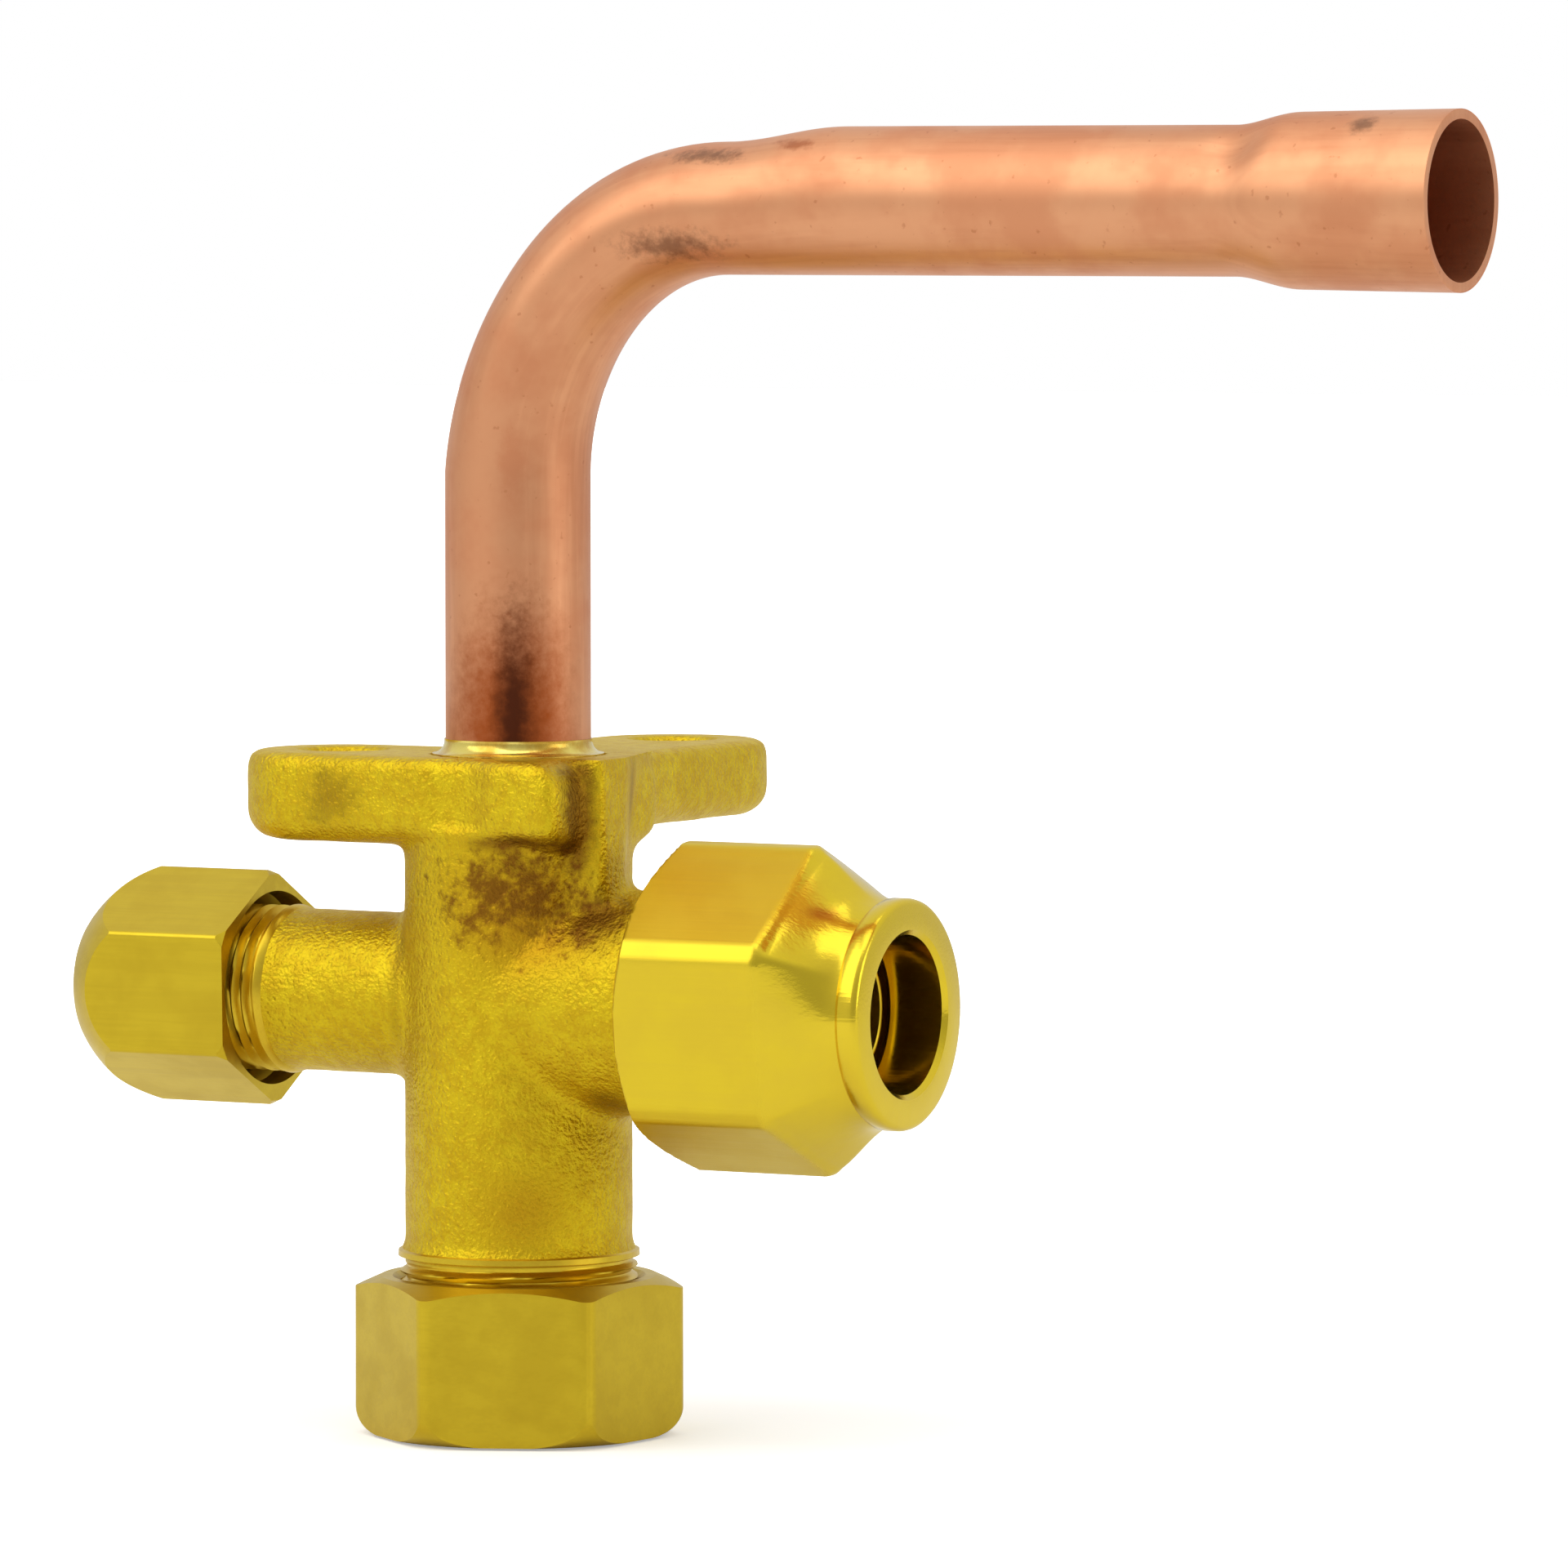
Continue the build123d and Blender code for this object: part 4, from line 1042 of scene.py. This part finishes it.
@dataclass
class HexNut:
    """The flare nut: a hexagon whose shoulder runs in soft lobes into a round collar. Sizes in mm.

    Attributes:
        turn: How far the nut has stopped past a corner-up position, in degrees.
        apothem: Half the distance across its flats.
        corner: Distance of the narrow flats that break its corners.
        back: Its rear end, and the radius there.
        chamfer: Length of the rear chamfer, and the radius at which it ends.
        shoulder: Start and end of the shoulder.
        neck: Radius at the shoulder's end.
        collar: Outer radius of the collar, and its end.
        bore: Profile through the bore, from the collar to the rear.
        around: Vertices round the axis.
    """

    turn: float = -6.5
    apothem: float = 12.15
    corner: float = 13.6
    back: tuple[float, float] = (15.4, 11.85)
    chamfer: tuple[float, float] = (1.3, 13.85)
    shoulder: tuple[float, float] = (28.2, 34.3)
    neck: float = 9.2
    collar: tuple[float, float] = (9.45, 36.3)
    bore: Sequence[tuple[float, float]] = (
        (36.3, 6.9), (35.9, 6.5), (31.2, 6.5), (28.115, 9.585), (16.2, 9.585), (15.4, 10.325),
    )
    around: int = 240

    def build(self, finish: Finish) -> bpy.types.Object:
        """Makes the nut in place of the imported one.

        Args:
            finish: Its finish.

        Returns:
            The nut.
        """
        start, end = self.shoulder
        collar, mouth = self.collar
        rear = self.back[0]
        places = [rear, *np.linspace(rear + 0.1, rear + self.chamfer[0], 8)]
        places += [*np.linspace(rear + self.chamfer[0] + 0.3, start - 0.12, 24), start]
        places += [*np.linspace(start + 0.15, end, 30)]
        rim = (
            (end + 0.15, collar - 0.12), (end + 0.35, collar), (mouth - 0.55, collar),
            (mouth - 0.25, collar - 0.08), (mouth - 0.08, collar - 0.25), (mouth, collar - 0.5),
        )
        profile = [*((float(x), None) for x in places), *rim, *self.bore]
        obj = lathe("hex_nut", Port.FLARE, profile, self.around, 40, self._outside)
        finish.dress(obj)
        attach(obj, "union_nut")
        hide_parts("flare_nut")
        LOG.info("forged the nut with %d points", len(obj.data.vertices))
        return obj

    def _outside(self, x: float, turn: float) -> float:
        """Radius of the nut's outside between its rear and its collar.

        Args:
            x: Place along the axis.
            turn: Angle about the axis, in turns.

        Returns:
            The radius.
        """
        sixth = math.pi / 3
        from_top = math.pi / 2 - turn * math.tau
        off_corner = (from_top - math.radians(self.turn)) % sixth
        off_flat = off_corner - sixth / 2
        off_corner = min(off_corner, sixth - off_corner)
        hexagon = min(self.apothem / math.cos(off_flat), self.corner / math.cos(off_corner))
        rise = (x - self.back[0]) / self.chamfer[0]
        turned = self.back[1] + (self.chamfer[1] - self.back[1]) * rise
        start, end = self.shoulder
        fall = min(max((x - start) / (end - start), 0.0), 1.0)
        if fall == 0:
            return min(hexagon, turned)
        lobe = (1 - off_corner / (sixth / 2)) ** 2
        ridge_fall = 0.3 * fall + 0.7 * ease(fall)
        hollow_fall = 0.5 * fall + 0.5 * ease(fall * 1.15)
        ridge = self.corner + (self.neck - self.corner) * ridge_fall
        hollow = self.apothem + (self.neck - self.apothem) * hollow_fall
        lobed = hollow + (ridge - hollow) * lobe
        return hexagon + (lobed - hexagon) * ease(fall * 5)


@dataclass
class ForgedBody:
    """The forging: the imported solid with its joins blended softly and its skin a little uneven.

    Attributes:
        cell: Size of the mesh's cells, in mm.
        soften: Rounds of smoothing everywhere.
        blend: Further rounds where the flange meets the barrel.
        unevenness: Height of the skin's unevenness, in mm.
        barrel: Radius of the barrel, in mm.
        packed_front: The flange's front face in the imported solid: two points (x, y) of it, in mm.
        front: The same two points where the face stands proud of the barrel.
        cuts: How far along each port's axis the forging reaches, and the radius within which it ends
            there, in mm.
    """

    cell: float = 0.42
    soften: int = 3
    blend: int = 14
    unevenness: float = 0.05
    barrel: float = 9.4
    packed_front: tuple[tuple[float, float], tuple[float, float]] = ((-16.7, -8.0), (9.2, -9.2))
    front: tuple[tuple[float, float], tuple[float, float]] = ((-16.7, -8.1), (9.2, -10.8))
    cuts: Sequence[tuple[Port, float, float]] = (
        (Port.STEM, 41.3, 11.0), (Port.FLARE, 15.2, 10.5), (Port.SERVICE, 21.3, 7.6),
    )

    def build(self, finish: Finish) -> bpy.types.Object:
        """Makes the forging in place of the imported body.

        Args:
            finish: Its finish.

        Returns:
            The forging.
        """
        mesh = self._cells(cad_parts["valve_body"])
        edges = np.empty(len(mesh.edges) * 2, dtype=int)
        mesh.edges.foreach_get("vertices", edges)
        edges = edges.reshape(-1, 2)
        points = self._bring_forward(read_vectors(mesh, "co"))
        points = self._relax(points, edges, self._forged_share(points), self.soften)
        points = self._relax(points, edges, self._blend_share(points), self.blend)
        mesh.vertices.foreach_set("co", points.ravel())
        mesh.update()
        self._roughen(mesh, self._forged_share(points))
        self._trim(mesh)
        mesh.shade_smooth()
        mesh.set_sharp_from_angle(angle=math.radians(50))
        obj = bpy.data.objects.new("forged_body", mesh)
        bpy.context.scene.collection.objects.link(obj)
        finish.dress(obj)
        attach(obj, "valve")
        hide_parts("valve_body")
        LOG.info("forged the body with %d points", len(points))
        return obj

    def _cells(self, node: bpy.types.Object) -> bpy.types.Mesh:
        """Copies a solid's mesh and divides it into even cells.

        Args:
            node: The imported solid.

        Returns:
            The mesh of cells.
        """
        model = bmesh.new()
        model.from_mesh(node.data)
        bmesh.ops.remove_doubles(model, verts=model.verts, dist=1e-7)
        solid = bpy.data.meshes.new("body_solid")
        model.to_mesh(solid)
        model.free()
        holder = bpy.data.objects.new("body_cells", solid)
        bpy.context.scene.collection.objects.link(holder)
        remesh = holder.modifiers.new("cells", "REMESH")
        remesh.mode, remesh.voxel_size = "VOXEL", self.cell * MM
        shape = holder.evaluated_get(bpy.context.evaluated_depsgraph_get())
        mesh = bpy.data.meshes.new_from_object(shape)
        bpy.data.objects.remove(holder)
        bpy.data.meshes.remove(solid)
        return mesh

    def _bring_forward(self, points: np.ndarray) -> np.ndarray:
        """Lets the flange's front face stand proud of the barrel, with a rolled lower rim.

        Args:
            points: The vertices.

        Returns:
            The moved vertices.
        """
        x, y, z = (points / MM).T
        (x0, y0), (x1, y1) = self.front
        (_, packed0), (_, packed1) = self.packed_front
        run = (x - x0) / (x1 - x0)
        wanted = y0 + (y1 - y0) * run
        barrel = -np.sqrt(np.clip(self.barrel ** 2 - x ** 2, 0, None))
        present = np.minimum(packed0 + (packed1 - packed0) * run, barrel)
        above_rim = smooth((z + 7.2) / 1.3)
        near_front = smooth((-6.0 - y) / 1.8)
        along_ear = smooth((x + 16.5) / 4) * (x < 9.7)
        share = above_rim * near_front * along_ear
        moved = points.copy()
        moved[:, 1] += (wanted - present) * share * MM
        return moved

    @staticmethod
    def _relax(points: np.ndarray, edges: np.ndarray, share: np.ndarray, rounds: int) -> np.ndarray:
        """Moves each point towards the middle of its neighbours.

        Args:
            points: The vertices.
            edges: Pairs of neighbouring vertices.
            share: How far each vertex moves in a round, from 0 to 1.
            rounds: Number of rounds.

        Returns:
            The moved vertices.
        """
        size = len(points)
        near, far = np.concatenate([edges, edges[:, ::-1]]).T
        count = np.maximum(np.bincount(near, minlength=size), 1)
        for _ in range(rounds):
            sums = [np.bincount(near, weights=points[far, k], minlength=size) for k in range(3)]
            middle = np.stack(sums, axis=1) / count[:, None]
            points = points + (middle - points) * 0.6 * share[:, None]
        return points

    @staticmethod
    def _forged_share(points: np.ndarray) -> np.ndarray:
        """Tells the forged skin from the machined surfaces.

        Args:
            points: The vertices.

        Returns:
            1 on the forged skin, 0 in the bores and a little on the machined top face.
        """
        x, y, z = (points / MM).T
        across, side = np.hypot(x, y), np.hypot(y, z - PORT_HEIGHT)
        skin = np.ones(len(points))
        skin[z > -0.6] = 0.25
        skin[(across < 7.9) & (z > -9)] = 0.0
        skin[(across < 7.8) & (side > 7.5)] = 0.0
        skin[(side < 5.6) & (np.abs(x) > 8)] = 0.0
        return skin

    @staticmethod
    def _blend_share(points: np.ndarray) -> np.ndarray:
        """Tells where the flange, the web and the barrel run softly into one another.

        Args:
            points: The vertices.

        Returns:
            How much each of them is blended, from 0 to 1.
        """
        x, y, z = (points / MM).T
        across, side = np.hypot(x, y), np.hypot(y, z - PORT_HEIGHT)
        under = bell(z, -7.6, 1.2) * bell(across, 9.6, 1.4) * (y > -2)
        root = bell(z, -11.5, 3.5) * bell(x, 9.8, 2.2) * (np.abs(y + 3) < 7)
        corner = bell(x, 9.2, 1.6) * bell(y, -5.6, 2.2) * (z > -12)
        share = np.clip(under + root + 0.6 * corner, 0, 1)
        share[(z > -0.8) | (across < 8.2) | ((side < 6) & (x > 5))] = 0
        return share

    def _roughen(self, mesh: bpy.types.Mesh, share: np.ndarray) -> None:
        """Gives the skin the slow unevenness of a forging.

        Args:
            mesh: The forging's mesh.
            share: How much each vertex takes part.
        """
        points, normals = read_vectors(mesh, "co"), read_vectors(mesh, "normal")
        swell = [noise.noise(Vector(p) * 260) + 0.5 * noise.noise(Vector(p) * 700) for p in points]
        height = np.array(swell) * (share > 0.5) * self.unevenness * MM
        points += normals * height[:, None]
        mesh.vertices.foreach_set("co", points.ravel())
        mesh.update()

    def _trim(self, mesh: bpy.types.Mesh) -> None:
        """Takes off the ends of the ports, which are turned pieces of their own.

        Args:
            mesh: The forging's mesh.
        """
        model = bmesh.new()
        model.from_mesh(mesh)
        ends = []
        for port, reach, radius in self.cuts:
            origin, outward, _, _ = port.frame()
            for vertex in model.verts:
                along = (vertex.co - origin).dot(outward)
                if along > reach * MM and (vertex.co - origin - outward * along).length < radius * MM:
                    ends.append(vertex)
        bmesh.ops.delete(model, geom=list(set(ends)), context="VERTS")
        model.to_mesh(mesh)
        model.free()


@dataclass
class CopperTube:
    """The connection pipe: riser, flattened bend, run, swage and belled mouth. Sizes in mm.

    Attributes:
        radius: Outer radius.
        wall: Wall thickness.
        foot: Height of its lower end.
        run_height: Height of the run's centre line.
        bend_along: Half axis of the bend's inside wall along the run.
        bend_up: The same along the riser.
        flat: How much the outside of the bend is flattened.
        tail: Length of the run over which the flattening fades.
        swage: Start and end of the swage.
        mouth: Where the bell ends.
        bell: Bore radius of the bell, and its outer radius at the swage and at the mouth.
        edge: How much the mouth's edge is broken.
        dent: Middle and reach of the swage's dent, and its depth.
        around: Vertices round the tube.
    """

    radius: float = 6.0
    wall: float = 0.8
    foot: float = -7.0
    run_height: float = 45.5
    bend_along: float = 13.8
    bend_up: float = 16.2
    flat: float = 1.2
    tail: float = 11.0
    swage: tuple[float, float] = (65.4, 71.2)
    mouth: float = 84.7
    bell: tuple[float, float, float] = (6.4, 7.0, 7.2)
    edge: float = 0.14
    dent: tuple[tuple[float, float, float], float, float] = ((67.6, -4.4, 49.6), 2.6, 0.45)
    around: int = 96

    def build(self, finish: Finish) -> bpy.types.Object:
        """Makes the tube in place of its two packed lengths.

        Args:
            finish: Its finish.

        Returns:
            The tube.
        """
        bore, _, outer = self.bell
        edge = self.edge
        broken = (
            (self.mouth - edge * 0.3, outer - edge * 0.3), (self.mouth, outer - edge),
            (self.mouth, bore + edge),
        )
        mouth = [
            self._ring(Vector((x, 0, self.run_height)), Vector((0, 0, 1)), radius)
            for x, radius in broken
        ]
        rings = [*self._skin(0.0), *mouth, *reversed(self._skin(self.wall))]
        points = [p * MM for ring in rings for p in ring]
        obj = mesh_object("copper_tube", points, ring_faces(len(rings), self.around), 60)
        finish.dress(obj)
        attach(obj, "valve")
        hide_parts("connection_pipe", "pipe_run")
        LOG.info("drew the tube with %d points", len(points))
        return obj

    def _ring(self, centre: Vector, outward: Vector, radius: float, flat: float = 0.0) -> list[Vector]:
        """One section of the tube.

        Args:
            centre: Its middle.
            outward: Direction in its plane away from the bend's inside.
            radius: Its radius before flattening.
            flat: How much it is flattened.

        Returns:
            Its points, in mm.
        """
        ring = []
        for j in range(self.around):
            angle = math.tau * j / self.around
            high = (radius - flat / 2) * math.cos(angle)
            wide = (radius + flat / 4) * math.sin(angle)
            ring.append(centre + outward * high + Vector((0, wide, 0)))
        return ring

    def _skin(self, inset: float) -> list[list[Vector]]:
        """All sections of one skin of the tube, from the foot to the mouth.

        Args:
            inset: Depth of the skin below the outside.

        Returns:
            The sections.
        """
        radius = self.radius - inset
        start = self.run_height - self.radius - self.bend_up
        rings = []
        for k in range(16):
            height = self.foot + (start - self.foot) * k / 16
            rings.append(self._ring(Vector((0, 0, height)), Vector((-1, 0, 0)), radius))
        steps = 40
        for k in range(steps + 1):
            t = math.pi / 2 * k / steps
            outward = Vector((-self.bend_up * math.cos(t), 0, self.bend_along * math.sin(t)))
            outward.normalize()
            inside = self.radius + self.bend_along * (1 - math.cos(t))
            wall = Vector((inside, 0, start + self.bend_up * math.sin(t)))
            flat = self.flat * math.sin(min(2 * k / steps, 1) * math.pi / 2)
            rings.append(self._ring(wall + outward * (self.radius - flat / 2), outward, radius, flat))
        bend_end = self.radius + self.bend_along
        for x in np.linspace(bend_end, self.mouth, 150)[1:]:
            flat = self.flat * math.cos(min((x - bend_end) / self.tail, 1) * math.pi / 2) ** 2
            centre = Vector((x, 0, self.run_height - flat / 2))
            ring = self._ring(centre, Vector((0, 0, 1)), self._run_radius(x, inset), flat)
            rings.append([self._dented(p) for p in ring])
        return rings

    def _run_radius(self, x: float, inset: float) -> float:
        """Radius of a skin along the run.

        Args:
            x: Place along the run.
            inset: Depth of the skin below the outside.

        Returns:
            The radius.
        """
        bore, at_swage, at_mouth = self.bell
        rise = ease((x - self.swage[0]) / (self.swage[1] - self.swage[0]))
        if inset:
            return self.radius - inset + (bore - self.radius + inset) * rise
        taper = (at_mouth - at_swage) * max(x - self.swage[1], 0) / (self.mouth - self.swage[1])
        return self.radius + (at_swage - self.radius) * rise + taper

    def _dented(self, point: Vector) -> Vector:
        """Presses a point of the run in where the swage has its dent.

        Args:
            point: The point, in mm.

        Returns:
            The moved point.
        """
        middle, reach, depth = self.dent
        away = (point - Vector(middle)).length / reach
        axis = Vector((point.x, 0, self.run_height))
        return point + (axis - point).normalized() * depth * math.exp(-away * away * 1.6)


def dress_plain_nodes(finishes: Finishes) -> None:
    """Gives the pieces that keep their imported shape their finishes.

    Args:
        finishes: The valve's finishes.
    """
    finish_of = {
        "braze_fillet": finishes.solder, "stem": finishes.turned, "stem_o_ring_inner": finishes.rubber,
        "stem_o_ring_outer": finishes.rubber, "stem_backup_ring": finishes.ptfe,
        "retaining_ring": finishes.steel, "stem_cap": finishes.caps, "stem_cap_gasket": finishes.copper,
        "service_cap": finishes.caps, "service_cap_seal": finishes.rubber,
        "core_plug": finishes.turned, "core_barrel": finishes.turned, "core_gasket": finishes.ptfe,
        "core_pin": finishes.steel, "core_cup": finishes.turned, "core_seat_seal": finishes.rubber,
        "core_spring": finishes.steel,
    }
    for name, finish in finish_of.items():
        finish.dress(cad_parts[name])
        LOG.info("dressed %s", name)


def main() -> None:
    """Builds the looks of the valve in order, and reports each piece."""
    logging.basicConfig(level=logging.INFO)
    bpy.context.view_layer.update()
    finishes = Finishes(Effects())
    dress_plain_nodes(finishes)
    ForgedBody().build(finishes.forged)
    for end in TURNED_ENDS:
        end.build(finishes.turned)
    HexNut().build(finishes.nut)
    CopperTube().build(finishes.copper)
    Studio().build()


if __name__ == "__main__":
    main()
